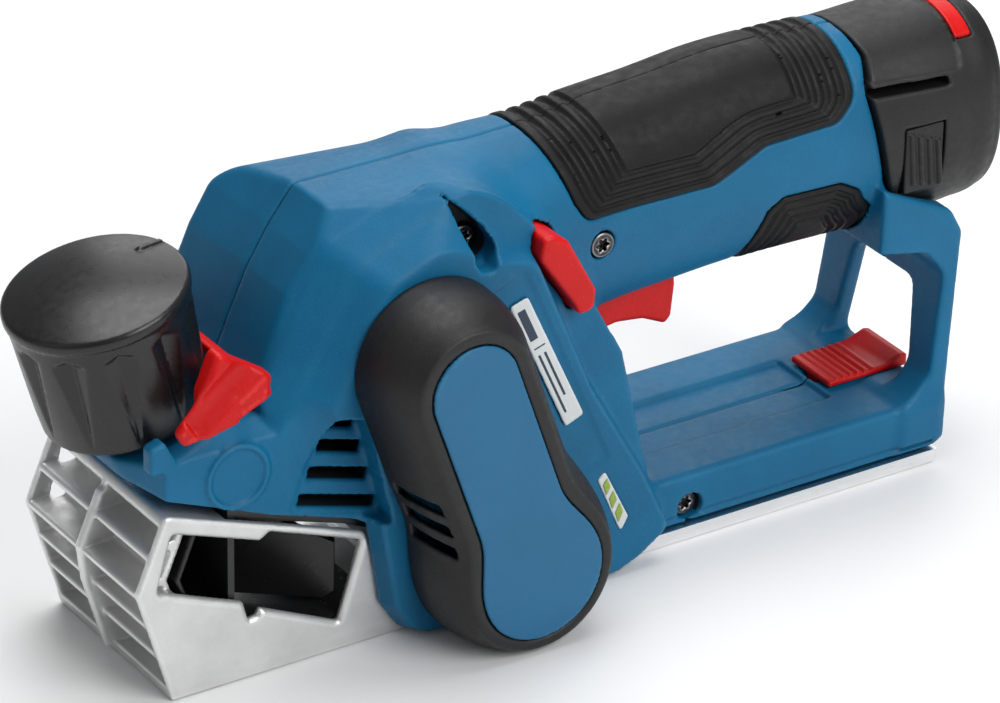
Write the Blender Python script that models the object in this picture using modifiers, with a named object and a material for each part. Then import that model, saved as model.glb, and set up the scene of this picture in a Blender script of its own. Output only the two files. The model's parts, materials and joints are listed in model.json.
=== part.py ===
"""Compact battery hand planer, modelled as an assembly of separate pieces.

Frame: +Z up, -X is the front (depth knob), +X the rear (battery), -Y the drive-belt side.
The origin lies on the underside of the rear sole, in the parting plane Y = 0.
Helpers take millimetres and build meshes in metres.
"""

import math

import bmesh
import bpy
from mathutils import Matrix, Vector

MM = 0.001
GAP = 0.3  # clearance between pieces that meet
ROUND = 28  # sides of a round piece

# Soles
SOLE_HALF_WIDTH = 30.7
SOLE_REAR_X = 77.5
SHOE_WALL = 2.5

# Cutter drum and motor
DRUM_X, DRUM_Z = -78.2, 24.0
CUT_RADIUS = 24.0
DRUM_RADIUS = 22.6
DRUM_HALF_WIDTH = 28.0
MOTOR_X, MOTOR_Z = -100.5, 87.0
STATOR_RADIUS = 20.0
ROTOR_RADIUS = 12.0
SHAFT_RADIUS = 3.0
DRUM_SHAFT_RADIUS = 4.0
DRIVE_PULLEY_RADIUS = 7.0
DRIVEN_PULLEY_RADIUS = 14.0
PULLEY_Y = (-51.5, -42.5)
BELT_THICKNESS = 1.6

# Housing
BODY_HALF_WIDTH = 31.0
FLANGE_Y = -38.0
COVER_FACE_Y = -61.5
DECK_TOP_Z = 20.0
DECK_HALF_WIDTH = 30.0
WALL = 2.8

# Handle and battery: the seat between them leans back, so X grows as Z falls
SEAT_LEAN = -0.232
SEAT_X = 58.5
HANDLE_MID_Z = 101.5
HEAD_TOP_Z = 127.9
RIM_RADIUS = 45.0  # rear of the head, round the motor axis

# Depth knob: its axis leans forward
KNOB_BASE = Vector((-169.2, 0.0, 62.6))
KNOB_TOP = Vector((-179.9, 0.0, 108.5))
KNOB_AXIS = (KNOB_TOP - KNOB_BASE).normalized()
KNOB_CAP = (12.3, 51.5)  # heights of the cap along the axis

PARTS = None
CUTTERS = None


# ---------------------------------------------------------------- scene and materials
def start_scene():
    global PARTS, CUTTERS
    for obj in list(bpy.data.objects):
        bpy.data.objects.remove(obj, do_unlink=True)
    PARTS = bpy.data.collections.new("hand_planer")
    CUTTERS = bpy.data.collections.new("cutters")
    for collection in (PARTS, CUTTERS):
        bpy.context.scene.collection.children.link(collection)
    CUTTERS.hide_render = True


def material(name, colour, roughness=0.5, metallic=0.0):
    made = bpy.data.materials.get(name)
    if made:
        return made
    made = bpy.data.materials.new(name)
    made.use_nodes = True
    shader = made.node_tree.nodes["Principled BSDF"]
    shader.inputs["Base Color"].default_value = (*colour, 1.0)
    shader.inputs["Roughness"].default_value = roughness
    shader.inputs["Metallic"].default_value = metallic
    made.diffuse_color = (*colour, 1.0)
    return made


def blue_plastic():
    return material("blue_plastic", (0.03, 0.17, 0.35), 0.45)


def black_plastic():
    return material("black_plastic", (0.02, 0.02, 0.022), 0.5)


def black_rubber():
    return material("black_rubber", (0.025, 0.025, 0.025), 0.7)


def red_plastic():
    return material("red_plastic", (0.75, 0.02, 0.02), 0.35)


def cast_aluminium():
    return material("cast_aluminium", (0.72, 0.73, 0.74), 0.35, 1.0)


def steel():
    return material("steel", (0.55, 0.55, 0.56), 0.3, 1.0)


def label_film():
    return material("label_film", (0.75, 0.77, 0.78), 0.4)


# ---------------------------------------------------------------- building helpers
def link(name, mesh):
    obj = bpy.data.objects.new(name, mesh)
    CUTTERS.objects.link(obj)
    obj.hide_render = True
    obj.display_type = "WIRE"
    return obj


def from_bmesh(name, bm):
    bmesh.ops.recalc_face_normals(bm, faces=bm.faces)
    mesh = bpy.data.meshes.new(name)
    bm.to_mesh(mesh)
    bm.free()
    return link(name, mesh)


def baked(obj):
    """The object's evaluated mesh in place of its mesh and modifiers."""
    bpy.context.view_layer.update()
    graph = bpy.context.evaluated_depsgraph_get()
    mesh = bpy.data.meshes.new_from_object(obj.evaluated_get(graph))
    obj.modifiers.clear()
    obj.data = mesh
    return obj


def box(name, low, high, bevel=0.0):
    bm = bmesh.new()
    bmesh.ops.create_cube(bm, size=1.0)
    low, high = Vector(low) * MM, Vector(high) * MM
    size = high - low
    place = Matrix.Translation((low + high) / 2) @ Matrix.Diagonal((*size, 1.0))
    bmesh.ops.transform(bm, matrix=place, verts=bm.verts)
    obj = from_bmesh(name, bm)
    if bevel:
        add_bevel(obj, bevel)
    return obj


def add_bevel(obj, width, segments=2, angle=30.0):
    modifier = obj.modifiers.new("edge", "BEVEL")
    modifier.width = width * MM
    modifier.segments = segments
    modifier.limit_method = "ANGLE"
    modifier.angle_limit = math.radians(angle)
    return obj


def cylinder(name, start, end, radius, end_radius=None, sides=ROUND):
    start, end = Vector(start) * MM, Vector(end) * MM
    along = end - start
    bm = bmesh.new()
    bmesh.ops.create_cone(
        bm,
        cap_ends=True,
        segments=sides,
        radius1=radius * MM,
        radius2=(radius if end_radius is None else end_radius) * MM,
        depth=along.length,
    )
    turn = Vector((0, 0, 1)).rotation_difference(along).to_matrix().to_4x4()
    bmesh.ops.transform(bm, matrix=Matrix.Translation((start + end) / 2) @ turn, verts=bm.verts)
    return from_bmesh(name, bm)


def turned(name, profile, start, along, sides=ROUND, closed=False):
    """A Screw of a (radius, height) profile, top to bottom, standing at start along a direction."""
    mesh = bpy.data.meshes.new(name)
    points = [(radius * MM, 0, height * MM) for radius, height in profile]
    edges = [(i, i + 1) for i in range(len(points) - 1)]
    if closed:
        edges.append((len(points) - 1, 0))
    mesh.from_pydata(points, edges, [])
    obj = link(name, mesh)
    screw = obj.modifiers.new("turn", "SCREW")
    screw.axis = "Z"
    screw.steps = screw.render_steps = sides
    screw.use_merge_vertices = True
    screw.merge_threshold = 0.00001
    obj.rotation_mode = "QUATERNION"
    obj.rotation_quaternion = Vector((0, 0, 1)).rotation_difference(Vector(along))
    obj.location = Vector(start) * MM
    return obj


PLANE_TURN = {
    "XZ": Matrix(((1, 0, 0), (0, 0, -1), (0, 1, 0))).to_4x4(),
    "YZ": Matrix(((0, 0, 1), (1, 0, 0), (0, 1, 0))).to_4x4(),
    "XY": Matrix.Identity(4),
}
PLANE_AXIS = {"XZ": Vector((0, 1, 0)), "YZ": Vector((1, 0, 0)), "XY": Vector((0, 0, 1))}


def prism(name, outlines, low, high, plane="XZ"):
    """One or more closed outlines in a plane, filled and extruded from low to high across it."""
    curve = bpy.data.curves.new(name, "CURVE")
    curve.dimensions = "2D"
    curve.fill_mode = "BOTH"
    curve.extrude = (high - low) / 2 * MM
    loops = outlines if isinstance(outlines[0][0], (tuple, list, Vector)) else [outlines]
    for loop in loops:
        spline = curve.splines.new("POLY")
        spline.points.add(len(loop) - 1)
        for point, (a, b) in zip(spline.points, loop):
            point.co = (a * MM, b * MM, 0, 1)
        spline.use_cyclic_u = True
    drawn = bpy.data.objects.new(name + "_outline", curve)
    CUTTERS.objects.link(drawn)
    bpy.context.view_layer.update()
    graph = bpy.context.evaluated_depsgraph_get()
    mesh = bpy.data.meshes.new_from_object(drawn.evaluated_get(graph))
    bpy.data.objects.remove(drawn)
    bm = bmesh.new()
    bm.from_mesh(mesh)
    bmesh.ops.remove_doubles(bm, verts=bm.verts, dist=1e-6)
    shift = Matrix.Translation(PLANE_AXIS[plane] * (low + high) / 2 * MM)
    bmesh.ops.transform(bm, matrix=shift @ PLANE_TURN[plane], verts=bm.verts)
    return from_bmesh(name, bm)


def loft(name, rings):
    """A closed solid through rings that have the same number of points."""
    bm = bmesh.new()
    loops = [[bm.verts.new(Vector(p) * MM) for p in ring] for ring in rings]
    count = len(rings[0])
    for first, second in zip(loops, loops[1:]):
        for i in range(count):
            j = (i + 1) % count
            bm.faces.new((first[i], first[j], second[j], second[i]))
    bm.faces.new(loops[0][::-1])
    bm.faces.new(loops[-1])
    return from_bmesh(name, bm)


def combine(target, operation, others):
    for other in others:
        modifier = target.modifiers.new(operation.lower(), "BOOLEAN")
        modifier.operation = operation
        modifier.solver = "EXACT"
        modifier.object = other
    return target


def join(target, *others):
    return combine(target, "UNION", others)


def cut(target, *others):
    return combine(target, "DIFFERENCE", others)


def common(target, *others):
    return combine(target, "INTERSECT", others)


def piece(obj, name, look, origin=None):
    """Makes the object a finished piece, with its origin on its joint's axis where it has one."""
    CUTTERS.objects.unlink(obj)
    PARTS.objects.link(obj)
    obj.name = name
    obj.data.name = name
    obj.hide_render = False
    obj.display_type = "TEXTURED"
    obj.data.materials.clear()
    obj.data.materials.append(look)
    if origin is not None:
        baked(obj)
        obj.data.transform(obj.matrix_world)
        obj.matrix_world = Matrix.Identity(4)
        place = Vector(origin) * MM
        obj.data.transform(Matrix.Translation(-place))
        obj.location = place
    obj.data.shade_smooth()
    obj.data.set_sharp_from_angle(angle=math.radians(30))
    return obj


# ---------------------------------------------------------------- outlines
def arc(centre, radius, start, end, steps):
    """Points on a circle from one angle to another, in degrees."""
    turns = [math.radians(start + (end - start) * i / steps) for i in range(steps + 1)]
    return [(centre[0] + radius * math.cos(t), centre[1] + radius * math.sin(t)) for t in turns]


def round_pulleys(motor_radius, drum_radius, steps=10):
    """The taut outline round a circle on the motor axis and one on the drum axis."""
    motor, drum = (MOTOR_X, MOTOR_Z), (DRUM_X, DRUM_Z)
    across, down = drum[0] - motor[0], drum[1] - motor[1]
    heading = math.degrees(math.atan2(down, across))
    spread = math.degrees(math.acos((motor_radius - drum_radius) / math.hypot(across, down)))
    top = arc(motor, motor_radius, heading + spread, heading - spread + 360, steps)
    bottom = arc(drum, drum_radius, heading - spread, heading + spread, steps)
    return top + bottom


def section(x, mid_z, half_width, half_height, lean=0.0, sides=28, power=2.4):
    """A superellipse across the handle, leaning with the battery seat where asked."""
    ring = []
    for i in range(sides):
        turn = 2 * math.pi * (i + 0.5) / sides
        c, s = math.cos(turn), math.sin(turn)
        y = math.copysign(abs(c) ** (2 / power), c) * half_width
        z = math.copysign(abs(s) ** (2 / power), s) * half_height
        ring.append((x + lean * (mid_z + z - HANDLE_MID_Z), y, mid_z + z))
    return ring


# Stations along the handle: X, middle Z, half width, half height, lean
HANDLE = (
    (-86.0, 97.0, 27.0, 30.8, 0.0),
    (-62.0, 94.5, 29.0, 33.0, 0.0),
    (-45.0, 97.0, 24.5, 31.5, 0.0),
    (-28.0, 98.8, 22.0, 31.0, 0.0),
    (-8.0, 100.3, 21.5, 31.0, 0.0),
    (14.0, 102.0, 21.5, 31.8, 0.0),
    (36.0, 102.0, 21.8, 31.8, 0.5),
    (SEAT_X - GAP / 2, 101.0, 22.5, 31.2, 1.0),
)


def handle_shape(name, grow, end_grow=0.0):
    rings = []
    for x, mid_z, half_width, half_height, lean in HANDLE:
        if x == HANDLE[-1][0]:
            x += end_grow
        rings.append(
            section(x, mid_z, half_width + grow, half_height + grow, lean * SEAT_LEAN)
        )
    return loft(name, rings)


# The housing's lower edge above the front shoe, front to rear
BLUE_EDGE = ((-183.0, 63.6), (-176.2, 60.7), (-145.2, 47.8), (-121.0, 39.6), (-113.5, 36.2), (-108.6, 24.0))
SHOE_TOP_FRONT = (-177.6, 57.0)
SHOE_TOP_REAR = (-115.9, 34.2)


# ---------------------------------------------------------------- housing
def head_outline():
    front = [(-183.0, 68.8), (-146.0, 83.6), (-143.2, 87.3), (-140.8, 92.8), (-134.5, 106.7)]
    top = [(-127.0, 118.0), (-119.4, HEAD_TOP_Z), (-84.0, HEAD_TOP_Z)]
    rim = arc((MOTOR_X, MOTOR_Z), RIM_RADIUS, 60, 33, 3)
    rear = rim + [(-50.0, 98.0), (-33.0, 66.0), (-20.0, 10.0), (-20.0, 4.4)]
    bottom = [(-100.0, 4.4), (-103.6, 11.0)]
    return front + top + rear + bottom + list(BLUE_EDGE)[::-1]


FLANGE = (
    (-100.0, 1.2), (-105.0, 4.0), (-110.5, 12.0), (-118.0, 44.0), (-131.0, 80.0), (-127.0, 99.0),
    (-116.0, 111.0), (-101.0, 116.0), (-84.0, 114.0), (-66.5, 106.0), (-47.4, 61.0), (-29.7, 30.0),
    (-20.8, 10.8), (-38.0, 1.2),
)
LOCK_OFF = (
    (-64.1, 104.6), (-62.9, 110.9), (-59.7, 111.0), (-54.9, 108.2), (-45.7, 91.2), (-46.2, 85.2),
    (-51.1, 84.7), (-52.8, 88.5),
)
# X, Z and the depth of each screw head's seat
SCREW_PLACES = ((-35.0, 96.0, -19.5), (-82.0, 112.0, -22.0), (-8.0, 9.6, -24.0))


def grown(outline, centre, factor):
    cx, cz = centre
    return [(cx + (x - cx) * factor, cz + (z - cz) * factor) for x, z in outline]


def arch():
    """The rear frame that ties the handle to the deck, open in the middle."""
    outer = ((-30.0, 8.0), (30.0, 8.0), (27.0, 76.0), (-27.0, 76.0))
    window = ((-18.5, DECK_TOP_Z), (18.5, DECK_TOP_Z), (13.5, 51.5), (-13.5, 51.5))
    portal = prism("arch_front_view", outer, 55, 92, "YZ")
    side = (
        (66.0, 4.4), (79.6, 4.4), (85.4, 66.0), (82.5, 74.0), (60.0, 76.0), (58.0, 70.0), (74.0, 65.0),
        (78.8, 57.0), (74.6, 26.0), (68.0, DECK_TOP_Z),
    )
    profile = prism("arch_side_view", side, -40, 40)
    common(portal, profile)
    cut(portal, prism("arch_window", window, 50, 95, "YZ"))
    return baked(portal)


def housing_outside():
    head = prism("head", head_outline(), -BODY_HALF_WIDTH, BODY_HALF_WIDTH)
    front_view = ((-31, 0), (-31, 104), (-16, 127.9), (16, 127.9), (31, 104), (31, 0))
    common(head, prism("head_front_view", front_view, -190, 0, "YZ"))
    plan = ((-183, -9), (-176.3, -31.2), (0, -31.2), (0, 31.2), (-176.3, 31.2), (-183, 9))
    common(head, prism("head_plan", plan, -5, 140, "XY"))
    baked(head)
    flange = prism("flange", FLANGE, FLANGE_Y, -29.0)
    deck = box("deck", (-40, -DECK_HALF_WIDTH, 4.4), (78.5, DECK_HALF_WIDTH, DECK_TOP_Z), 2.5)
    join(head, flange, handle_shape("handle", 0.0), baked(deck), arch())
    return baked(head)


def shoe_room():
    """Space that the front shoe needs in the housing, with its travel."""
    outline = [(-190, -5), (-190, 63.6), *BLUE_EDGE, (-103.6, 11.0), (-99.0, 8.4), (-91.0, 6.4), (-87, -5)]
    return prism("shoe_room", outline, -31.3, 31.3)


def motor_room():
    inner = (
        (-143.0, 72.0), (-136.5, 91.5), (-130.0, 106.0), (-117.5, 124.0), (-86.0, 124.6),
        (-70.0, 117.0), (-65.5, 109.5), (-54.0, 96.0), (-42.0, 76.0), (-36.5, 62.0), (-27.5, 22.0),
        (-46.5, 22.0),
        (-50.0, 54.0), (-66.0, 58.0), (-118.0, 58.0), (-135.0, 62.0),
    )
    room = prism("motor_room", inner, -28, 28)
    front_view = ((-28, 0), (-28, 102), (-14.5, 124.6), (14.5, 124.6), (28, 102), (28, 0))
    common(room, prism("room_front_view", front_view, -190, 0, "YZ"))
    baked(room)
    axis = (MOTOR_X, MOTOR_Z)
    cradle = cylinder("cradle", (axis[0], -18, axis[1]), (axis[0], 15, axis[1]), STATOR_RADIUS + 4)
    ribs = box("cradle_ribs", (-146, -3, 50), (-46, 3, 126))
    bearing_boss = cylinder("bearing_boss", (axis[0], 19.5, axis[1]), (axis[0], 30, axis[1]), 11)
    screw_x, screw_z, _ = SCREW_PLACES[1]
    screw_boss = cylinder("screw_boss", (screw_x, -30, screw_z), (screw_x, 30, screw_z), 6.0, sides=20)
    join(cradle, ribs, bearing_boss, screw_boss)
    cut(room, baked(cradle))
    return baked(room)


def drum_room():
    room = cylinder(
        "drum_room",
        (DRUM_X, -DRUM_HALF_WIDTH - 0.6, DRUM_Z),
        (DRUM_X, DRUM_HALF_WIDTH + 0.6, DRUM_Z),
        CUT_RADIUS + 2.5,
    )
    mouth = box("mouth", (-97, -28.6, -2), (-60, 28.6, 14))
    outlet = box("chip_outlet", (-125, -26, 9), (-98, 26, 31))
    return baked(join(room, mouth, outlet))


def lever_room():
    """The slot across the nose for the chip lever's bar."""
    return box("lever_slot", (-149.8, -40, 75.4), (-145.2, 40, 92))


def knob_room():
    """The open pocket that the knob turns in, with its spindle's bore under it."""
    low, high = KNOB_BASE + KNOB_AXIS * (KNOB_CAP[0] - 1.1), KNOB_BASE + KNOB_AXIS * 50
    pocket = cylinder("knob_pocket", low, high, 23.9, 27.6, sides=32)
    bore = cylinder("spindle_bore", KNOB_BASE - KNOB_AXIS * 25, KNOB_BASE + KNOB_AXIS * 12, 4.4, sides=16)
    return baked(join(pocket, bore))


def wall_bores():
    """Bores along Y for shafts, bearings and screws. The motor's is wide inside and narrow in the wall."""
    far = -45.0
    bores = [
        cylinder("stator_bore", (MOTOR_X, -28.2, MOTOR_Z), (MOTOR_X, 15.5, MOTOR_Z), STATOR_RADIUS + GAP),
        cylinder("wall_bore", (MOTOR_X, -60, MOTOR_Z), (MOTOR_X, -20, MOTOR_Z), 8.0 + GAP),
        cylinder("bearing_pocket", (MOTOR_X, 15, MOTOR_Z), (MOTOR_X, 26.5, MOTOR_Z), 8.0 + GAP),
        cylinder("drum_bore", (DRUM_X, -60, DRUM_Z), (DRUM_X, -20, DRUM_Z), 9.5 + GAP),
    ]
    for i, (x, z, head_y) in enumerate(SCREW_PLACES):
        bores.append(cylinder(f"screw_head_bore_{i}", (x, far, z), (x, head_y, z), 4.2, sides=16))
        bores.append(cylinder(f"screw_bore_{i}", (x, far, z), (x, 12.4, z), 2.0, sides=12))
    for i, (x, y) in enumerate(SOLE_SCREWS):
        bores.append(cylinder(f"sole_screw_bore_{i}", (x, y, 0), (x, y, 8), 1.9, sides=12))
    return bores


def housing_halves():
    body = housing_outside()
    sole_room = box("sole_room", (-112, -31.1, -5), (80, 31.1, 4.4))
    cut(body, sole_room, shoe_room(), motor_room(), drum_room(), lever_room(), knob_room())
    baked(body)
    handle_room = handle_shape("handle_room", -WALL, end_grow=6.0)
    baked(cut(handle_room, box("room_stop", (-90, -60, 30), (-31, 60, 150))))
    key_groove = box("key_groove", (44, -3.4, 12.0), (95, 3.4, 26))
    trigger_slot = box("trigger_slot", (-34.0, -6.6, 52), (4.2, 6.6, 84))
    seat = battery_outside("battery_room", 0.6)
    cut(body, handle_room, key_groove, trigger_slot, seat)
    lock_slot = prism("lock_slot", grown(LOCK_OFF, (-55.5, 97.8), 1.09), -50, 50)
    stub = cylinder("drum_stub", (DRUM_X, 22.0, DRUM_Z), (DRUM_X, 29.5, DRUM_Z), 2.7, sides=16)
    baked(cut(body, lock_slot))
    join(body, stub)
    pads = [pad_cutter(i, outline) for i, outline in enumerate((GRIP, LOWER_PAD))]
    cut(body, *pads, *wall_bores())
    inlaid = [prism("label_recess", wider(MOTOR_LABEL), -50, -37.4), gauge_recess()]
    baked(cut(body, *inlaid))
    for side, low, high in (("left", -80, -GAP / 2), ("right", GAP / 2, 80)):
        half = link(f"{side}_half", body.data.copy())
        common(half, box(f"{side}_side", (-200, low, -5), (200, high, 160)))
        piece(baked(half), f"housing_{side}", blue_plastic())


# ---------------------------------------------------------------- soft grips
GRIP = (
    (-58.0, 150.0), (-49.0, 124.0), (-44.5, 111.0), (-40.5, 105.2), (-37.0, 103.8), (3.0, 103.8),
    (20.0, 111.5), (44.0, 112.5), (51.0, 118.0), (47.0, 150.0),
)
LOWER_PAD = (
    (19.0, 60.0), (22.5, 73.0), (24.5, 90.0), (28.0, 93.7), (48.5, 93.7), (54.0, 90.0), (57.0, 83.0),
    (58.5, 60.0),
)
PAD_DEPTH = 1.6
PAD_PROUD = 0.4


def pad_cutter(i, outline):
    centre = (sum(x for x, _ in outline) / len(outline), sum(z for _, z in outline) / len(outline))
    band = prism(f"pad_band_{i}", grown(outline, centre, 1.012), -45, 45)
    cut(band, handle_shape(f"pad_floor_{i}", -PAD_DEPTH - GAP))
    return baked(band)


def pads():
    for name, outline in (("grip", GRIP), ("lower_pad", LOWER_PAD)):
        for side, low, high in (("left", -45, -GAP / 2), ("right", GAP / 2, 45)):
            pad = handle_shape(f"{name}_{side}_skin", PAD_PROUD)
            common(pad, prism(f"{name}_{side}_view", outline, low, high))
            cut(pad, handle_shape(f"{name}_{side}_core", -PAD_DEPTH))
            piece(baked(pad), f"{name}_{side}", black_rubber())


# ---------------------------------------------------------------- belt side
MOTOR_LABEL = ((-75.2, 94.6), (-69.5, 96.4), (-50.5, 55.4), (-56.4, 53.0))
GAUGE = ((-45.2, 32.8), (-42.9, 35.0), (-34.8, 18.6), (-37.2, 14.4))


def wider(outline):
    centre = (sum(x for x, _ in outline) / len(outline), sum(z for _, z in outline) / len(outline))
    return grown(outline, centre, 1.03)


def gauge_recess():
    return prism("gauge_recess", grown(GAUGE, (-40.0, 25.2), 1.1), -50, -37.0)


def belt_cover():
    outside = ((-38.3, 24.0, 27.0), (-47, 23.4, 26.6), (-57.5, 20.0, 24.2), (COVER_FACE_Y, 17.3, 22.6))
    inside = ((-37.0, 21.6, 24.5), (-46, 21.0, 24.0), (-56, 17.4, 21.6), (-59.2, 15.2, 20.4))

    def shell(name, stations):
        return loft(name, [[(x, y, z) for x, z in round_pulleys(a, b)] for y, a, b in stations])

    cover = shell("cover_outside", outside)
    recess = prism("inlay_recess", round_pulleys(13.6, 18.8), -70, COVER_FACE_Y + 1.1)
    floor = box("cover_floor", (-140, -80, -20), (-20, 0, 1.5))
    cut(cover, shell("cover_inside", inside), recess, floor)
    piece(baked(cover), "belt_cover", black_plastic())
    inlay = prism("inlay", round_pulleys(13.3, 18.5), COVER_FACE_Y - 0.3, COVER_FACE_Y + 0.8)
    piece(inlay, "cover_inlay", blue_plastic())
    label = prism("label", MOTOR_LABEL, -38.3, -37.7)
    piece(label, "motor_label", label_film())
    gauge = prism("gauge", GAUGE, -38.5, -37.3)
    piece(gauge, "charge_indicator", material("gauge", (0.55, 0.65, 0.3), 0.4))


def drive():
    small, large = DRIVE_PULLEY_RADIUS + GAP, DRIVEN_PULLEY_RADIUS + GAP
    belt = prism(
        "belt",
        [
            round_pulleys(small + BELT_THICKNESS, large + BELT_THICKNESS),
            round_pulleys(small, large),
        ],
        PULLEY_Y[0] + 1.5,
        PULLEY_Y[1] - 1.5,
    )
    piece(belt, "drive_belt", black_rubber())
    pulley("drive_pulley", (MOTOR_X, MOTOR_Z), DRIVE_PULLEY_RADIUS, SHAFT_RADIUS)
    pulley("driven_pulley", (DRUM_X, DRUM_Z), DRIVEN_PULLEY_RADIUS, DRUM_SHAFT_RADIUS)


def pulley(name, centre, radius, bore):
    """A flanged pulley on a shaft along Y."""
    low, high = PULLEY_Y
    rim, flange = radius, radius + 1.6
    hole = bore + GAP
    profile = [
        (hole, high - low), (flange, high - low), (flange, high - low - 1.0), (rim, high - low - 1.2),
        (rim, 1.2), (flange, 1.0), (flange, 0.0), (hole, 0.0),
    ]
    made = turned(name, profile, (centre[0], low, centre[1]), (0, 1, 0), closed=True)
    piece(made, name, steel(), origin=(centre[0], (low + high) / 2, centre[1]))


def ring(name, centre, low, high, outer, inner, look, origin=False):
    profile = [(inner, high - low), (outer, high - low), (outer, 0.0), (inner, 0.0)]
    made = turned(name, profile, (centre[0], low, centre[1]), (0, 1, 0), closed=True)
    place = (centre[0], (low + high) / 2, centre[1]) if origin else None
    return piece(made, name, look, origin=place)


def motor():
    axis = (MOTOR_X, MOTOR_Z)
    copper = material("stator_winding", (0.45, 0.2, 0.08), 0.4, 0.6)
    ring("motor_stator", axis, -17.5, 14.5, STATOR_RADIUS, ROTOR_RADIUS + 0.6, copper)
    ring("motor_bearing_left", axis, -36.5, -31.0, 8.0, SHAFT_RADIUS + GAP, steel())
    ring("motor_bearing_right", axis, 21.0, 26.0, 8.0, SHAFT_RADIUS + GAP, steel())
    magnet = material("magnet", (0.2, 0.2, 0.21), 0.4, 0.9)
    ring("rotor_magnet", axis, -16.5, 13.5, ROTOR_RADIUS, SHAFT_RADIUS + GAP, magnet, origin=True)
    shaft = cylinder("shaft", (axis[0], -53.5, axis[1]), (axis[0], 26, axis[1]), SHAFT_RADIUS)
    piece(shaft, "motor_shaft", steel(), origin=(axis[0], 0, axis[1]))
    fan = cylinder("fan_disc", (axis[0], -20.8, axis[1]), (axis[0], -19.3, axis[1]), 18.5)
    blades = []
    for i in range(8):
        blade = box(f"fan_blade_{i}", (6.0, -27.0, -0.7), (18.0, -20.0, 0.7))
        turn = Matrix.Rotation(math.radians(45 * i), 4, "Y")
        blade.data.transform(turn)
        blade.data.transform(Matrix.Translation(Vector((axis[0], 0, axis[1])) * MM))
        blades.append(blade)
    hub = cylinder("fan_hub", (axis[0], -27.0, axis[1]), (axis[0], -19.3, axis[1]), 6.8)
    join(fan, hub, *blades)
    baked(fan)
    cut(fan, cylinder("fan_bore", (axis[0], -30, axis[1]), (axis[0], -15, axis[1]), SHAFT_RADIUS + GAP))
    piece(baked(fan), "cooling_fan", black_plastic(), origin=(axis[0], -23, axis[1]))


def cutter():
    axis = (DRUM_X, DRUM_Z)
    half = DRUM_HALF_WIDTH
    drum = cylinder("drum_solid", (axis[0], -half, axis[1]), (axis[0], half, axis[1]), DRUM_RADIUS)
    slot = box("blade_slot", (axis[0] - 5.2, -40, axis[1] + 10), (axis[0] + 1.0, 40, axis[1] + 30))
    start, end = (axis[0], -40, axis[1]), (axis[0], 15, axis[1])
    bore = cylinder("drum_shaft_bore", start, end, DRUM_SHAFT_RADIUS + GAP)
    recess = cylinder("drum_recess", (axis[0], 20.5, axis[1]), (axis[0], 40, axis[1]), 8.4)
    cut(drum, slot, bore, recess)
    piece(baked(drum), "drum", cast_aluminium(), origin=(axis[0], 0, axis[1]))
    edge_z = axis[1] + CUT_RADIUS - 0.1
    blade = box("blade", (axis[0] - 0.6, -half, axis[1] + 10.4), (axis[0] + 0.6, half, edge_z))
    piece(blade, "planer_blade", steel(), origin=(axis[0], 0, axis[1]))
    clamp = box("clamp", (axis[0] - 4.8, -half, axis[1] + 10.4), (axis[0] - 1.0, half, axis[1] + 21.6))
    for i, y in enumerate((-18, 0, 18)):
        start, end = (axis[0] - 9, y, axis[1] + 16), (axis[0] - 3.2, y, axis[1] + 16)
        cut(clamp, cylinder(f"clamp_dimple_{i}", start, end, 2.6, sides=12))
    piece(baked(clamp), "blade_clamp", steel(), origin=(axis[0], 0, axis[1]))
    start, end = (axis[0], -53.5, axis[1]), (axis[0], 14.5, axis[1])
    shaft = cylinder("drum_shaft_solid", start, end, DRUM_SHAFT_RADIUS)
    piece(shaft, "drum_shaft", steel(), origin=(axis[0], 0, axis[1]))
    ring("drum_bearing_left", axis, -36.5, -30.5, 9.5, DRUM_SHAFT_RADIUS + GAP, steel())
    ring("drum_bearing_right", axis, 21.5, 26.5, 8.0, 3.0, steel())


# ---------------------------------------------------------------- soles and chip chute
def rear_sole():
    outline = ((-71.0, 0), (SOLE_REAR_X - 1.0, 0), (SOLE_REAR_X, 1.0), (SOLE_REAR_X, 4.0), (-63.5, 4.0))
    sole = prism("rear_sole_solid", outline, -SOLE_HALF_WIDTH, SOLE_HALF_WIDTH)
    for i, (x, y) in enumerate(SOLE_SCREWS):
        cut(sole, cylinder(f"sole_hole_{i}", (x, y, -1), (x, y, 6), 2.0, sides=16))
        cut(sole, cylinder(f"sole_sink_{i}", (x, y, -0.5), (x, y, 2.4), 4.6, 2.0, sides=16))
    piece(baked(sole), "rear_sole", cast_aluminium())


SOLE_SCREWS = ((-45.0, 20.0), (-45.0, -20.0), (20.0, 12.0))


def shoe_outline():
    rear = [(-111.9, 24.2), (-106.2, 11.5), (-99.3, 0.0)]
    return [(-176.0, 0.0), (-186.6, 35.2), SHOE_TOP_FRONT, SHOE_TOP_REAR] + rear


CHIP_WINDOW = (
    (-175.3, 50.8), (-180.1, 34.3), (-153.7, 23.4), (-152.2, 17.4), (-149.4, 18.1), (-123.9, 8.3),
    (-116.6, 31.6), (-145.3, 42.7), (-148.4, 40.8),
)


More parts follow.
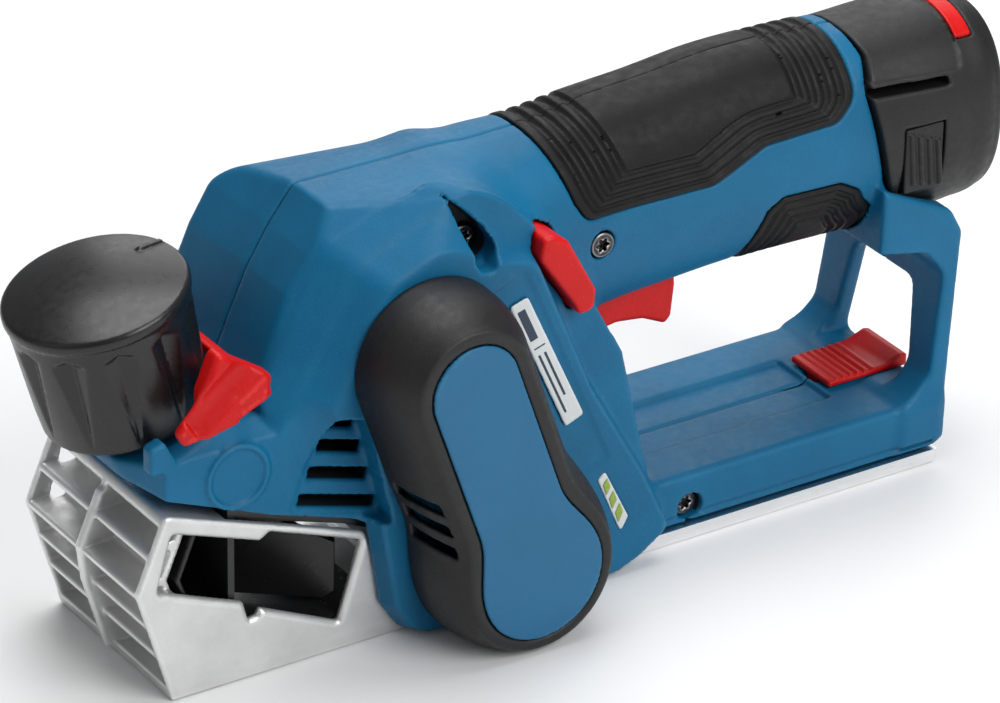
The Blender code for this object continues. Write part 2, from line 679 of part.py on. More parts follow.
def front_shoe():
    width = SOLE_HALF_WIDTH
    shoe = prism("shoe_side_left", shoe_outline(), -width, -width + SHOE_WALL)
    other = prism("shoe_side_right", shoe_outline(), width - SHOE_WALL, width)
    floor = prism("shoe_floor", ((-176, 0), (-88.5, 0), (-95.0, 4.0), (-177.2, 4.0)), -width, width)
    back = ((-170.0, 2), (-179.5, 34.5), (-172.5, 53.5), (-170.0, 52.6), (-176.8, 34.5), (-167.4, 2))
    wall = prism("shoe_front_wall", back, -width + 1, width - 1)
    bridge = ((-178.2, 55.0), (-177.4, 56.9), (-158.0, 49.8), (-158.0, 46.4), (-176.6, 53.2))
    deck = prism("shoe_bridge", bridge, -width + 1, width - 1)
    post = (
        (-180.7, 52.1), (-188.1, 36.1), (-186.2, 25.3), (-179.5, 2.9), (-170.0, 3.0), (-177.5, 35.0), (-173, 53),
    )
    centre = prism("shoe_centre_rib", post, -1.6, 1.6)
    solids = [other, floor, wall, deck, centre]
    for i, z in enumerate((14.2, 24.3, 34.5, 45.0)):
        face_x = -176.0 - (z / 35.2) * 10.6 if z < 35.2 else -186.6 + (z - 35.2) / 21.8 * 9.0
        solids.append(
            box(f"shoe_rib_{i}", (face_x + 0.4, -width + 1, z - 1.0), (face_x + 10.5, width - 1, z + 1.0))
        )
    boss_low, boss_high = KNOB_BASE - KNOB_AXIS * 22, KNOB_BASE - KNOB_AXIS * 13.8
    solids.append(cylinder("shoe_boss", boss_low, boss_high, 7.0, sides=20))
    join(shoe, *solids)
    baked(shoe)
    window = prism("chip_windows", CHIP_WINDOW, -45, 45)
    keep_front = box("window_keep", (-200, -27.2, -5), (-90, 27.2, 80))
    cut(window, keep_front)
    cut(shoe, baked(window))
    bore = cylinder("boss_bore", KNOB_BASE - KNOB_AXIS * 30, KNOB_BASE, 3.4, sides=16)
    cut(shoe, bore)
    piece(baked(shoe), "front_shoe", cast_aluminium())


def chip_chute():
    """The black duct behind the shoe's windows: a lid under the nose, a front wall and a floor."""
    lid = [(x, z - GAP) for x, z in ((-157.0, 52.7), *BLUE_EDGE[2:5])]
    under = [(x, z - 2.4) for x, z in lid[:0:-1]]
    front = [(-155.0, 49.2), (-155.0, 10.5), (-108.5, 8.6), (-108.5, 6.6), (-157.0, 7.0)]
    chute = prism("chute", lid + under + front, -27.6, 27.6)
    piece(chute, "chip_chute", black_plastic())


def chip_lever():
    bar = box("lever_bar", (-149.0, -31, 76.2), (-146.0, 27, 88.0))
    wing = ((-168.0, 75.6), (-146.6, 84.2), (-144.6, 88.2), (-161.5, 104.5))
    near = prism("lever_near", wing, -34.5, -28.2)
    far = prism("lever_far", wing, 24.2, 30.5)
    join(bar, near, far)
    piece(baked(bar), "chip_lever", red_plastic(), origin=(-148.5, -2.5, 82))


FLAP_PIVOT = (-150.5, 0.0)
FLAP_ANGLE = 38.0


def chip_deflector():
    """A flap on a vertical pin, resting towards the belt side."""
    panel = ((1.0, 12.0), (34.5, 12.0), (37.5, 14.5), (37.5, 29.5), (1.0, 43.5))
    flap = prism("flap_panel", panel, -1.3, 1.3)
    hub = cylinder("flap_hub", (0, 0, 12), (0, 0, 43.0), 2.6, sides=16)
    join(flap, hub)
    baked(flap)
    flap.data.transform(Matrix.Rotation(math.radians(-FLAP_ANGLE), 4, "Z"))
    flap.data.transform(Matrix.Translation(Vector((*FLAP_PIVOT, 0)) * MM))
    piece(flap, "chip_deflector", black_plastic(), origin=(*FLAP_PIVOT, 27))


# ---------------------------------------------------------------- depth knob
def depth_knob():
    """A cap with a shallow dome; profile heights run along the leaning axis."""
    low, top = KNOB_CAP
    profile = [
        (0.0, top + 3.2), (10.0, top + 2.8), (19.0, top + 1.5), (24.2, top - 0.4), (25.6, top - 1.8),
        (25.0, top - 7.0), (23.4, low + 8.0), (22.7, low + 1.2), (21.6, low), (20.0, low), (20.0, low + 8.0),
        (6.6, low + 8.0), (6.6, low + 0.6), (4.0, low + 0.6), (4.0, low + 4.0), (0.0, low + 4.0),
    ]
    knob = turned("knob", profile, KNOB_BASE, KNOB_AXIS, sides=36)
    piece(knob, "depth_knob", black_plastic(), origin=KNOB_BASE)
    low, high = KNOB_BASE - KNOB_AXIS * 19, KNOB_BASE + KNOB_AXIS * (KNOB_CAP[0] + 3.6)
    spindle = cylinder("spindle", low, high, 3.0, sides=20)
    piece(spindle, "knob_spindle", steel(), origin=KNOB_BASE)


# ---------------------------------------------------------------- handle controls
TRIGGER_PIVOT = (-30.5, 0.0, 66.0)


def trigger():
    outline = (
        (-32.6, 62.5), (-28.5, 57.8), (-18.0, 58.4), (-9.0, 56.6), (-1.2, 54.8), (0.6, 57.0), (1.6, 66.5),
        (1.2, 73.0), (-26.0, 73.0), (-32.6, 68.5),
    )
    body = prism("trigger_body", outline, -6.0, 6.0)
    piece(body, "trigger", red_plastic(), origin=TRIGGER_PIVOT)
    bolt = prism("lock_bolt", LOCK_OFF, -36.0, 36.0)
    piece(bolt, "lock_off_button", red_plastic(), origin=(-55.5, 0, 97.8))
    piece(box("switch", (-30, -9, 85.0), (-4, 9, 104), 1.0), "switch_body", black_plastic())
    board = box("board", (-46.0, -22, 25), (-40.0, 22, 60), 0.6)
    piece(board, "control_module", black_plastic())
    piece(box("terminal", (-1.5, -11, 88), (5.5, 11, 112), 0.8), "battery_terminal", black_plastic())


def screws():
    for i, (x, z, head_y) in enumerate(SCREW_PLACES):
        tip = head_y - 8.9
        profile = [(0.0, 0.0), (3.7, 0.0), (3.7, -2.6), (1.7, -3.0), (1.7, tip), (0.0, tip)]
        screw = turned(f"screw_{i}", profile, (x, head_y - GAP - 3.0, z), (0, -1, 0), sides=16)
        piece(screw, f"housing_screw_{i + 1}", steel())
    for i, (x, y) in enumerate(SOLE_SCREWS):
        profile = [(0.0, 2.6), (1.5, 2.6), (1.5, -1.9), (3.3, -3.6), (0.0, -3.6)]
        screw = turned(f"sole_screw_{i}", profile, (x, y, 4.0), (0, 0, 1), sides=16)
        piece(screw, f"sole_screw_{i + 1}", steel())


# ---------------------------------------------------------------- battery and tool store
# Stations behind the seat: distance, half width, half height, share of the seat's lean
BATTERY = ((0.0, 25.0, 30.4, 1.0), (29.0, 25.2, 30.6, 0.25), (39.0, 24.0, 29.4, 0.0), (43.0, 20.5, 26.0, 0.0))
BATTERY_MID_Z = 101.9


def battery_outside(name, grow):
    """The cap behind the handle, leaning with the seat."""
    start = SEAT_X + GAP / 2 - grow * 0.2
    rings = [
        section(start + x + (grow if x else 0), BATTERY_MID_Z, w + grow, h + grow, share * SEAT_LEAN)
        for x, w, h, share in BATTERY
    ]
    return loft(name, rings)


def release_tab(side):
    sign = -1 if side == "left" else 1
    low, high = sorted((sign * 22.2, sign * 25.9))
    tab = box(f"tab_{side}", (65.5, low, 86), (78.5, high, 106), 0.6)
    piece(baked(tab), f"release_tab_{side}", black_plastic(), origin=(72, sign * 24, 96))
    low, high = sorted((sign * 20.6, sign * 40))
    return box(f"tab_room_{side}", (65.0, low, 85.5), (79.0, high, 106.5))


def battery():
    case = battery_outside("case", 0.0)
    stem_rings = [
        section(x, 101.0, 15.6, 18.0, lean) for x, lean in ((8.0, 0.0), (40.0, 0.0), (66.0, SEAT_LEAN))
    ]
    stem = loft("stem", stem_rings)
    join(case, stem)
    baked(case)
    cut(case, release_tab("left"), release_tab("right"))
    stripe_view, middle = ((86.2, 120.0), (92.1, 120.0), (93.4, 140.0), (87.5, 140.0)), (89.8, 130.0)
    recess = prism("stripe_band", grown(stripe_view, middle, 1.02), -17.3, 17.3)
    baked(cut(recess, battery_outside("stripe_floor", -1.5)))
    cut(case, recess)
    piece(baked(case), "battery_case", black_plastic())
    stripe = battery_outside("stripe_skin", 0.1)
    common(stripe, prism("stripe_view", grown(stripe_view, middle, 0.9), -16.8, 16.8))
    cut(stripe, battery_outside("stripe_core", -1.2))
    piece(baked(stripe), "battery_stripe", red_plastic())


def tool_store():
    """The red holder on the deck slides out to the rear with the blade key under it."""
    holder = box("holder", (54, -9.6, 20.5), (81.5, 9.6, 24.6), 0.8)
    baked(holder)
    clip = box("holder_clip", (54.6, -2.6, 18.0), (60.0, 2.6, 21.5))
    join(holder, clip)
    piece(baked(holder), "key_holder", red_plastic(), origin=(67, 0, 22))
    route = ((46.0, 0.0, 15.2), (78.0, 0.0, 15.2), (79.6, 0.0, 15.9), (80.2, 0.0, 17.4), (80.2, 0.0, 19.6))
    curve = bpy.data.curves.new("key", "CURVE")
    curve.dimensions = "3D"
    curve.bevel_depth = 1.5 * MM
    curve.bevel_resolution = 1
    curve.use_fill_caps = True
    spline = curve.splines.new("POLY")
    spline.points.add(len(route) - 1)
    for point, place in zip(spline.points, route):
        point.co = (*(Vector(place) * MM), 1)
    key = bpy.data.objects.new("key", curve)
    PARTS.objects.link(key)
    key.name = "hex_key"
    curve.materials.append(steel())


def build():
    start_scene()
    housing_halves()
    pads()
    belt_cover()
    drive()
    motor()
    cutter()
    rear_sole()
    front_shoe()
    chip_chute()
    chip_lever()
    chip_deflector()
    depth_knob()
    trigger()
    screws()
    battery()
    tool_store()


build()
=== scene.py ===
"""Looks of the compact battery hand planer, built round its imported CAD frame.

Lengths are in millimetres in the frame's own axes (+Z up, -X front, -Y belt side), meshes in metres.
The moulded pieces are sculpted as distance fields and meshed on a fine grid.
"""

import json
import math

import bpy
import numpy as np
from mathutils import Matrix, Vector


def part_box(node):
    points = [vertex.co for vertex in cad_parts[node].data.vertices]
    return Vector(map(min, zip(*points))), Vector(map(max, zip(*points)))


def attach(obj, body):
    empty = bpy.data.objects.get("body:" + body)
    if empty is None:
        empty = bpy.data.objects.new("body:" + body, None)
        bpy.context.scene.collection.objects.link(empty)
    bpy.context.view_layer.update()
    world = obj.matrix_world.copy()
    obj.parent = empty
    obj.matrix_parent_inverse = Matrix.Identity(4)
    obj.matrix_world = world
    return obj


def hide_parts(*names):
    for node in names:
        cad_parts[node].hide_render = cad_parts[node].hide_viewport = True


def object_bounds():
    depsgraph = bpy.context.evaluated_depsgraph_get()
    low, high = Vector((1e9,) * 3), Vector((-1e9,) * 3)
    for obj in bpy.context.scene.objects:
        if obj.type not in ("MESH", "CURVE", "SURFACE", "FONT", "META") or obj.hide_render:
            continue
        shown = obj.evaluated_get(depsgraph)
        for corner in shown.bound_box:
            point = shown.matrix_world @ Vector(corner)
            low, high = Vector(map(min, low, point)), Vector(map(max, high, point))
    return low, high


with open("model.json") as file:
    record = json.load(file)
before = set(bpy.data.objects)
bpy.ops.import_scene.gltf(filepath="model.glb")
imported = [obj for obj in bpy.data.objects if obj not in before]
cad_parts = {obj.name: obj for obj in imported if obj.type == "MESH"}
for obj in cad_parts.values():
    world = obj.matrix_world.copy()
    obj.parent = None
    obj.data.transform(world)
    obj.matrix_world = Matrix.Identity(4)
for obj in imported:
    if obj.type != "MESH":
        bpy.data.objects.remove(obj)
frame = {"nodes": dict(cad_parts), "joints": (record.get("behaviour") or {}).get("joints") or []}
CAD_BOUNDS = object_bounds()

MM = 0.001
JOINTS = {joint["name"]: joint for joint in frame["joints"]}


def joint_place(name):
    return tuple(value / MM for value in JOINTS[name]["pos_m"])


def node_box(name, before=0, after=0):
    """A node's lowest and highest corners in millimetres, with room before and after it along X."""
    low, high = ([v / MM for v in corner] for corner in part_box(name))
    low[0] -= before
    high[0] += after
    return low, high


MOTOR = (joint_place("motor_spin")[0], joint_place("motor_spin")[2])
DRUM = (joint_place("drum_spin")[0], joint_place("drum_spin")[2])
KNOB_BASE = np.array(joint_place("depth_knob_turn"))
KNOB_AXIS = np.array(JOINTS["depth_knob_turn"]["axis"], float)
KNOB_CAP = (12.3, 51.5)  # heights along the axis

HALF = 31.0  # half width of the head
FLANGE_Y = -38.0  # outer face of the belt side's plate
COVER_FACE_Y = node_box("belt_cover")[0][1]
DECK_TOP = 20.0
SEAT_LEAN = -0.232  # how far the handle's rear end leans for each millimetre up
SEAT_X = 58.5
LEAN_Z = 101.5
SEAT_RISE = 4.0  # how far the end's edge runs back over the handle's top
RISE_Z = (117, 127)
GAP = 0.3  # clearance between pieces
SKIN_GAP = 0.15  # clearance round a pad or a plate let into another piece
SHELL_PITCH = 0.95
SHADE_DEPTH = 2.3  # how far under its skin the housing gets the painted shade
PAD_PITCH = 0.55
PAD_PROUD = 0.4
PAD_TOP = 133.95
FILLET_STEPS = 4
TUBE_POWER = 2.4  # roundness of the handle's and the battery's section
DRAFT = 0.35


# ---- outlines
def filleted(points, radius=0.0):
    """Rounds the corners of an outline; a point may carry its own radius."""
    made = []
    count = len(points)
    for i, here in enumerate(points):
        size = here[2] if len(here) > 2 else radius
        if size <= 0:
            made.append((here[0], here[1]))
            continue
        corner = Vector(here[:2])
        back = Vector(points[i - 1][:2]) - corner
        ahead = Vector(points[(i + 1) % count][:2]) - corner
        half_angle = back.angle(ahead) / 2
        reach = min(size / max(math.tan(half_angle), 0.01), 0.45 * back.length, 0.45 * ahead.length)
        start, end = corner + back.normalized() * reach, corner + ahead.normalized() * reach
        for j in range(FILLET_STEPS + 1):
            t = j / FILLET_STEPS
            made.append(tuple((1 - t) ** 2 * start + 2 * t * (1 - t) * corner + t * t * end))
    return made


def arc(centre, radius, start, end, steps):
    turns = [math.radians(start + (end - start) * i / steps) for i in range(steps + 1)]
    return [(centre[0] + radius * math.cos(t), centre[1] + radius * math.sin(t)) for t in turns]


def outline(points):
    """The signed distance to a closed outline in a plane."""
    ends = list(zip(points, points[1:] + points[:1]))

    def distance(a, b):
        a, b = np.broadcast_arrays(a, b)
        best = np.full(a.shape, 1e9, np.float32)
        inside = np.zeros(a.shape, bool)
        for (ax, ay), (bx, by) in ends:
            ex, ey = bx - ax, by - ay
            px, py = a - ax, b - ay
            t = np.clip((px * ex + py * ey) / (ex * ex + ey * ey + 1e-9), 0, 1)
            best = np.minimum(best, (px - ex * t) ** 2 + (py - ey * t) ** 2)
            if ey:
                inside ^= ((ay <= b) != (by <= b)) & (px < py * (ex / ey))
        return np.where(inside, -1, 1) * np.sqrt(best)

    return distance


# ---- distance fields
def smooth_min(a, b, blend):
    if not blend:
        return np.minimum(a, b)
    h = np.maximum(blend - np.abs(a - b), 0) / blend
    return np.minimum(a, b) - h * h * (blend / 4)


def joined(fields, blend=0.0):
    def field(x, y, z):
        made = fields[0](x, y, z)
        for other in fields[1:]:
            made = smooth_min(made, other(x, y, z), blend)
        return made

    return field


def common(fields, blend=0.0):
    def field(x, y, z):
        made = -fields[0](x, y, z)
        for other in fields[1:]:
            made = smooth_min(made, -other(x, y, z), blend)
        return -made

    return field


def without(body, cutters, blend=0.0):
    def field(x, y, z):
        made = -body(x, y, z)
        for other in cutters:
            made = smooth_min(made, other(x, y, z), blend)
        return -made

    return field


def mirrored(body):
    """The same shape on both sides of the parting plane."""
    return lambda x, y, z: body(x, -np.abs(y), z)


def thickened(flat, along, edge):
    """A solid from distances across and along it, with its edges rounded."""
    a, b = flat + edge, along + edge
    return np.minimum(np.maximum(a, b), 0) + np.hypot(np.maximum(a, 0), np.maximum(b, 0)) - edge


def prism(points, low, high, across="y", edge=0.0, corner=0.0):
    shape = outline(filleted(points, corner))

    def field(x, y, z):
        a, b, along = {"y": (x, z, y), "x": (y, z, x), "z": (x, y, z)}[across]
        return thickened(shape(a, b), np.maximum(low - along, along - high), edge)

    return field


def block(low, high, edge=0.0):
    def field(x, y, z):
        gaps = [np.maximum(a - v, v - b) + edge for v, a, b in zip((x, y, z), low, high)]
        inner = np.minimum(np.maximum(np.maximum(gaps[0], gaps[1]), gaps[2]), 0)
        return inner + np.sqrt(sum(np.maximum(g, 0) ** 2 for g in gaps)) - edge

    return field


def along_axis(start, axis, x, y, z):
    """Distances from a line, and along it from its start."""
    p = (x - start[0], y - start[1], z - start[2])
    t = p[0] * axis[0] + p[1] * axis[1] + p[2] * axis[2]
    square = p[0] ** 2 + p[1] ** 2 + p[2] ** 2 - t * t
    return np.sqrt(np.maximum(square, 0)), t


def rod(start, end, radius, end_radius=None, edge=0.0):
    start, end = np.array(start, float), np.array(end, float)
    length = float(np.linalg.norm(end - start))
    axis = (end - start) / length
    last = radius if end_radius is None else end_radius

    def field(x, y, z):
        away, t = along_axis(start, axis, x, y, z)
        wide = radius + (last - radius) * np.clip(t / length, 0, 1)
        return thickened(away - wide, np.maximum(-t, t - length), edge)

    return field


def rod_y(centre, low, high, radius, edge=0.0):
    return rod((centre[0], low, centre[1]), (centre[0], high, centre[1]), radius, edge=edge)


def turned(profile, start, axis):
    """A turned solid from a (radius, height) outline that runs a little past its axis."""
    shape = outline(filleted(profile))
    return lambda x, y, z: shape(*along_axis(start, axis, x, y, z))


def plane(point, normal):
    """Everything behind a plane."""
    unit = np.array(normal, float) / np.linalg.norm(normal)

    def field(x, y, z):
        return (x - point[0]) * unit[0] + (y - point[1]) * unit[1] + (z - point[2]) * unit[2]

    return field


def read_table(x, table, column):
    """A smooth curve through one column of a table of stations."""
    xs = [row[0] for row in table]
    ys = [row[column] for row in table]
    slopes = np.gradient(np.array(ys, float), np.array(xs, float))
    made = np.full(np.shape(x), ys[0], np.float32)
    for i in range(len(xs) - 1):
        step = xs[i + 1] - xs[i]
        t = np.clip((x - xs[i]) / step, 0, 1)
        bend = (
            (2 * t**3 - 3 * t**2 + 1) * ys[i]
            + (t**3 - 2 * t**2 + t) * step * slopes[i]
            + (3 * t**2 - 2 * t**3) * ys[i + 1]
            + (t**3 - t**2) * step * slopes[i + 1]
        )
        made = np.where(x >= xs[i], bend, made)
    return made


def tube(table, grow=0.0, ends=(None, None)):
    """A superellipse tube along X through (X, middle Z, half width, half height) stations."""

    def field(x, y, z):
        middle = read_table(x, table, 1)
        wide = read_table(x, table, 2) + grow
        high = read_table(x, table, 3) + grow
        up = z - middle
        q = ((np.abs(y) / wide) ** TUBE_POWER + (np.abs(up) / high) ** TUBE_POWER) ** (1 / TUBE_POWER)
        away = np.sqrt(y * y + up * up)
        made = away * (1 - 1 / np.maximum(q, 0.05))
        for end, sign in zip(ends, (-1, 1)):
            if end is not None:
                made = np.maximum(made, (x - end) * sign - grow)
        return made

    return field


# ---- meshing
CORNERS = [(i, j, k) for i in (0, 1) for j in (0, 1) for k in (0, 1)]
EDGES = [
    (a, b)
    for a in range(8)
    for b in range(a + 1, 8)
    if sum(abs(p - q) for p, q in zip(CORNERS[a], CORNERS[b])) == 1
]


def surface(values, low, pitch):
    """Points and four-sided faces of the zero surface of a grid of distances."""
    inside = values < 0
    sizes = [n - 1 for n in values.shape]
    count = np.zeros(sizes, np.uint8)
    for i, j, k in CORNERS:
        count += inside[i : sizes[0] + i, j : sizes[1] + j, k : sizes[2] + k]
    active = (count > 0) & (count < 8)
    index = np.full(sizes, -1, np.int32)
    cells = np.argwhere(active)
    index[active] = np.arange(len(cells))
    read = [values[tuple((cells + corner).T)] for corner in CORNERS]
    total = np.zeros((len(cells), 3))
    hits = np.zeros(len(cells))
    for a, b in EDGES:
        crosses = (read[a] < 0) != (read[b] < 0)
        share = np.where(crosses, read[a] / np.where(crosses, read[a] - read[b], 1), 0)
        step = np.subtract(CORNERS[b], CORNERS[a])
        total += crosses[:, None] * (np.array(CORNERS[a]) + share[:, None] * step)
        hits += crosses
    points = low + (cells + total / hits[:, None]) * pitch
    faces = []
    for axis in range(3):
        second, third = (axis + 1) % 3, (axis + 2) % 3
        near = np.take(inside, range(sizes[axis]), axis)
        far = np.take(inside, range(1, sizes[axis] + 1), axis)
        edges = np.argwhere(near != far)
        edges = edges[(edges[:, second] > 0) & (edges[:, third] > 0)]
        keep = (edges[:, second] < sizes[second]) & (edges[:, third] < sizes[third])
        edges = edges[keep]
        outward = inside[tuple(edges.T)]
        loop = []
        for b, c in ((1, 1), (0, 1), (0, 0), (1, 0)):
            cell = edges.copy()
            cell[:, second] -= b
            cell[:, third] -= c
            loop.append(index[tuple(cell.T)])
        quads = np.stack(loop, axis=1)
        quads[~outward] = quads[~outward][:, ::-1]
        faces.append(quads)
    return points, np.concatenate(faces)


def placed(name, data):
    """A new object in the scene."""
    obj = bpy.data.objects.new(name, data)
    bpy.context.scene.collection.objects.link(obj)
    return obj


def mesh_object(name, points, faces):
    """An object from arrays of points, in millimetres, and four-sided faces."""
    mesh = bpy.data.meshes.new(name)
    mesh.vertices.add(len(points))
    mesh.vertices.foreach_set("co", (points * MM).astype(np.float32).ravel())
    mesh.loops.add(faces.size)
    mesh.loops.foreach_set("vertex_index", faces.astype(np.int32).ravel())
    mesh.polygons.add(len(faces))
    mesh.polygons.foreach_set("loop_start", np.arange(0, faces.size, 4, dtype=np.int32))
    mesh.update(calc_edges=True)
    mesh.validate()
    mesh.shade_smooth()
    return placed(name, mesh)


def sculpt(name, field, low, high, pitch):
    """Meshes a distance field between two corners and pulls each point onto it."""
    axes = [
        np.arange(a - 2 * pitch, b + 2.5 * pitch, pitch, dtype=np.float32) for a, b in zip(low, high)
    ]
    x, y, z = axes[0][:, None, None], axes[1][None, :, None], axes[2][None, None, :]
    shape = tuple(len(v) for v in axes)
    values = np.broadcast_to(field(x, y, z), shape).astype(np.float32)
    for axis in range(3):
        for end in (0, -1):
            side = [slice(None)] * 3
            side[axis] = end
            values[tuple(side)] = pitch
    points, faces = surface(values, np.array([v[0] for v in axes]), pitch)
    small = pitch * 0.2
    here = field(*points.T)
    slopes = [(field(*(points + small * np.eye(3)[i]).T) - here) / small for i in range(3)]
    slope = np.stack(slopes, axis=1)
    steep = np.maximum((slope**2).sum(axis=1), 0.2)
    move = -slope * (here / steep)[:, None]
    length = np.linalg.norm(move, axis=1)
    move *= np.minimum(1, 0.4 * pitch / np.maximum(length, 1e-6))[:, None]
    return mesh_object(name, points + move, faces)


# ---- materials
class Look:
    """A small helper for writing a material's nodes."""

    def __init__(self, name, roughness=0.5, metallic=0.0, **sockets):
        self.material = bpy.data.materials.new(name)
        self.material.use_nodes = True
        self.tree = self.material.node_tree
        self.shader = self.tree.nodes["Principled BSDF"]
        self.shader.inputs["Roughness"].default_value = roughness
        self.shader.inputs["Metallic"].default_value = metallic
        for socket, value in sockets.items():
            self.shader.inputs[socket.replace("_", " ")].default_value = value
        self.place = self.node("ShaderNodeTexCoord").outputs["Object"]

    def node(self, kind, **inputs):
        made = self.tree.nodes.new(kind)
        for socket, value in inputs.items():
            self.put(made.inputs[socket.replace("_", " ")], value)
        return made

    def put(self, socket, value):
        if hasattr(value, "is_output"):
            self.tree.links.new(value, socket)
        else:
            socket.default_value = value

    def noise(self, scale, detail=2.0, rough=0.5, stretch=(1, 1, 1)):
        place = self.place
        if stretch != (1, 1, 1):
            place = self.node("ShaderNodeMapping", Vector=place, Scale=stretch).outputs[0]
        kind = "ShaderNodeTexNoise"
        made = self.node(kind, Vector=place, Scale=scale, Detail=detail, Roughness=rough)
        return made.outputs["Fac"]

    def cells(self, scale):
        return self.node("ShaderNodeTexVoronoi", Vector=self.place, Scale=scale).outputs["Distance"]

    def span(self, value, low, high, to_low=0.0, to_high=1.0):
        made = self.node("ShaderNodeMapRange", Value=value)
        sockets = ("From Min", "From Max", "To Min", "To Max")
        for socket, number in zip(sockets, (low, high, to_low, to_high)):
            made.inputs[socket].default_value = number
        return made.outputs["Result"]

    def mix(self, share, first, second):
        made = self.tree.nodes.new("ShaderNodeMix")
        made.data_type = "RGBA"
        self.put(made.inputs["Factor"], share)
        for socket, value in ((made.inputs[6], first), (made.inputs[7], second)):
            self.put(socket, (*value, 1.0) if isinstance(value, tuple) else value)
        return made.outputs[2]

    def edges(self, low=0.52, high=0.62, most=1.0):
        """How far a point stands on an outer edge."""
        return self.span(self.node("ShaderNodeNewGeometry").outputs["Pointiness"], low, high, 0.0, most)

    def colour(self, value):
        self.tree.links.new(value, self.shader.inputs["Base Color"])

    def rough(self, value, low, high):
        self.tree.links.new(self.span(value, 0.3, 0.7, low, high), self.shader.inputs["Roughness"])

    def bump(self, height, depth_mm, strength=1.0):
        made = self.node("ShaderNodeBump", Height=height, Distance=depth_mm * MM, Strength=strength)
        self.tree.links.new(made.outputs["Normal"], self.shader.inputs["Normal"])


def grained_plastic(name, base, dark, pale, speck, rough, grain=2800.0, depth=0.045, **sockets):
    """Moulded plastic with a spark-eroded grain, pale specks and slightly paler outer edges."""
    look = Look(name, **sockets)
    cloud = look.span(look.noise(38.0, 4.0), 0.35, 0.65)
    fine = look.noise(grain, 2.0, 0.6)
    body = look.mix(cloud, base, dark)
    specks = look.span(fine, 0.56, 0.72, 0.0, speck)
    body = look.mix(specks, body, pale)
    body = look.mix(look.edges(most=0.35), body, pale)
    look.colour(body)
    look.rough(look.noise(420.0, 3.0), *rough)
    look.bump(fine, depth)
    return look.material


def ribbed_rubber(name, base, pale):
    """Soft rubber with pores, dusty patches and paler outer edges."""
    look = Look(name, Specular_IOR_Level=0.22)
    dust = look.span(look.noise(60.0, 5.0), 0.42, 0.72, 0.0, 0.5)
    pores = look.cells(1500.0)
    body = look.mix(dust, base, pale)
    body = look.mix(look.edges(0.51, 0.6, 0.4), body, pale)
    look.colour(body)
    look.rough(look.noise(300.0, 3.0), 0.42, 0.6)
    look.bump(pores, 0.04, 0.7)
    return look.material


def cast_metal(name, base, dark, rough, grain=900.0, depth=0.06, brushed=(1, 1, 1), metallic=1.0):
    """Cast or ground metal with a fine texture, dull patches and bright edges."""
    look = Look(name, metallic=metallic)
    patch = look.span(look.noise(70.0, 5.0, 0.6), 0.35, 0.7)
    fine = look.noise(grain, 3.0, 0.6, brushed)
    body = look.mix(patch, base, dark)
    body = look.mix(look.edges(0.51, 0.58, 0.6), body, (0.95, 0.95, 0.95))
    look.colour(body)
    look.rough(look.noise(260.0, 3.0, 0.6, brushed), *rough)
    look.bump(fine, depth)
    return look.material


BLUE = grained_plastic(
    "blue_grained", (0.003, 0.13, 0.27), (0.002, 0.108, 0.23), (0.03, 0.24, 0.4), 0.3, (0.4, 0.54),
    Specular_IOR_Level=0.25,
)
BLUE_SMOOTH = grained_plastic(
    "blue_film", (0.005, 0.12, 0.255), (0.004, 0.11, 0.235), (0.02, 0.17, 0.31), 0.15, (0.36, 0.46),
    900.0, 0.012, Specular_IOR_Level=0.4,
)
BLACK = grained_plastic(
    "black_grained", (0.009, 0.009, 0.0095), (0.006, 0.006, 0.0065), (0.04, 0.04, 0.042), 0.4,
    (0.42, 0.56), Specular_IOR_Level=0.4,
)
BLACK_SMOOTH = grained_plastic(
    "black_smooth", (0.008, 0.008, 0.0085), (0.006, 0.006, 0.0065), (0.03, 0.03, 0.031), 0.04,
    (0.26, 0.36), 1200.0, 0.012,
)
RUBBER = ribbed_rubber("black_rubber", (0.006, 0.006, 0.006), (0.012, 0.012, 0.012))
# painted shade: a near-black colour for the housing's faces deep under its skin, standing in for the
# shadow inside its openings
PAINTED_SHADE_INSIDE = grained_plastic(
    "painted_shade_inside", (0.006, 0.012, 0.018), (0.004, 0.008, 0.012), (0.012, 0.024, 0.034), 0.2,
    (0.6, 0.75),
)
RED = grained_plastic(
    "red_moulded", (0.62, 0.004, 0.004), (0.5, 0.003, 0.003), (0.85, 0.05, 0.04), 0.2, (0.32, 0.44),
    1100.0, 0.02, Specular_IOR_Level=0.25,
)
CAST = cast_metal(
    "cast_aluminium", (0.74, 0.74, 0.735), (0.64, 0.64, 0.635), (0.34, 0.5), metallic=0.72
)
GROUND = cast_metal(
    "ground_sole", (0.76, 0.765, 0.77), (0.66, 0.665, 0.67), (0.22, 0.36), 700.0, 0.03, (0.03, 1, 1)
)
STEEL = cast_metal("turned_steel", (0.58, 0.58, 0.59), (0.46, 0.46, 0.47), (0.22, 0.36), 1200.0, 0.02)
DARK_STEEL = cast_metal(
    "blackened_steel", (0.06, 0.06, 0.062), (0.03, 0.03, 0.032), (0.28, 0.4), 900.0, 0.03
)
COPPER = cast_metal(
    "copper_winding", (0.72, 0.3, 0.14), (0.5, 0.19, 0.08), (0.25, 0.4), 500.0, 0.2, (1, 6, 1)
)
INK = grained_plastic(
    "label_ink", (0.01, 0.03, 0.06), (0.008, 0.025, 0.05), (0.03, 0.06, 0.1), 0.2, (0.34, 0.44)
)
LABEL = grained_plastic(
    "label_film", (0.66, 0.69, 0.7), (0.6, 0.63, 0.64), (0.8, 0.81, 0.82), 0.3, (0.34, 0.44),
    700.0, 0.008,
)
GREEN = grained_plastic(
    "indicator_green", (0.3, 0.42, 0.06), (0.25, 0.36, 0.05), (0.45, 0.55, 0.15), 0.2, (0.22, 0.34),
    700.0, 0.008,
)


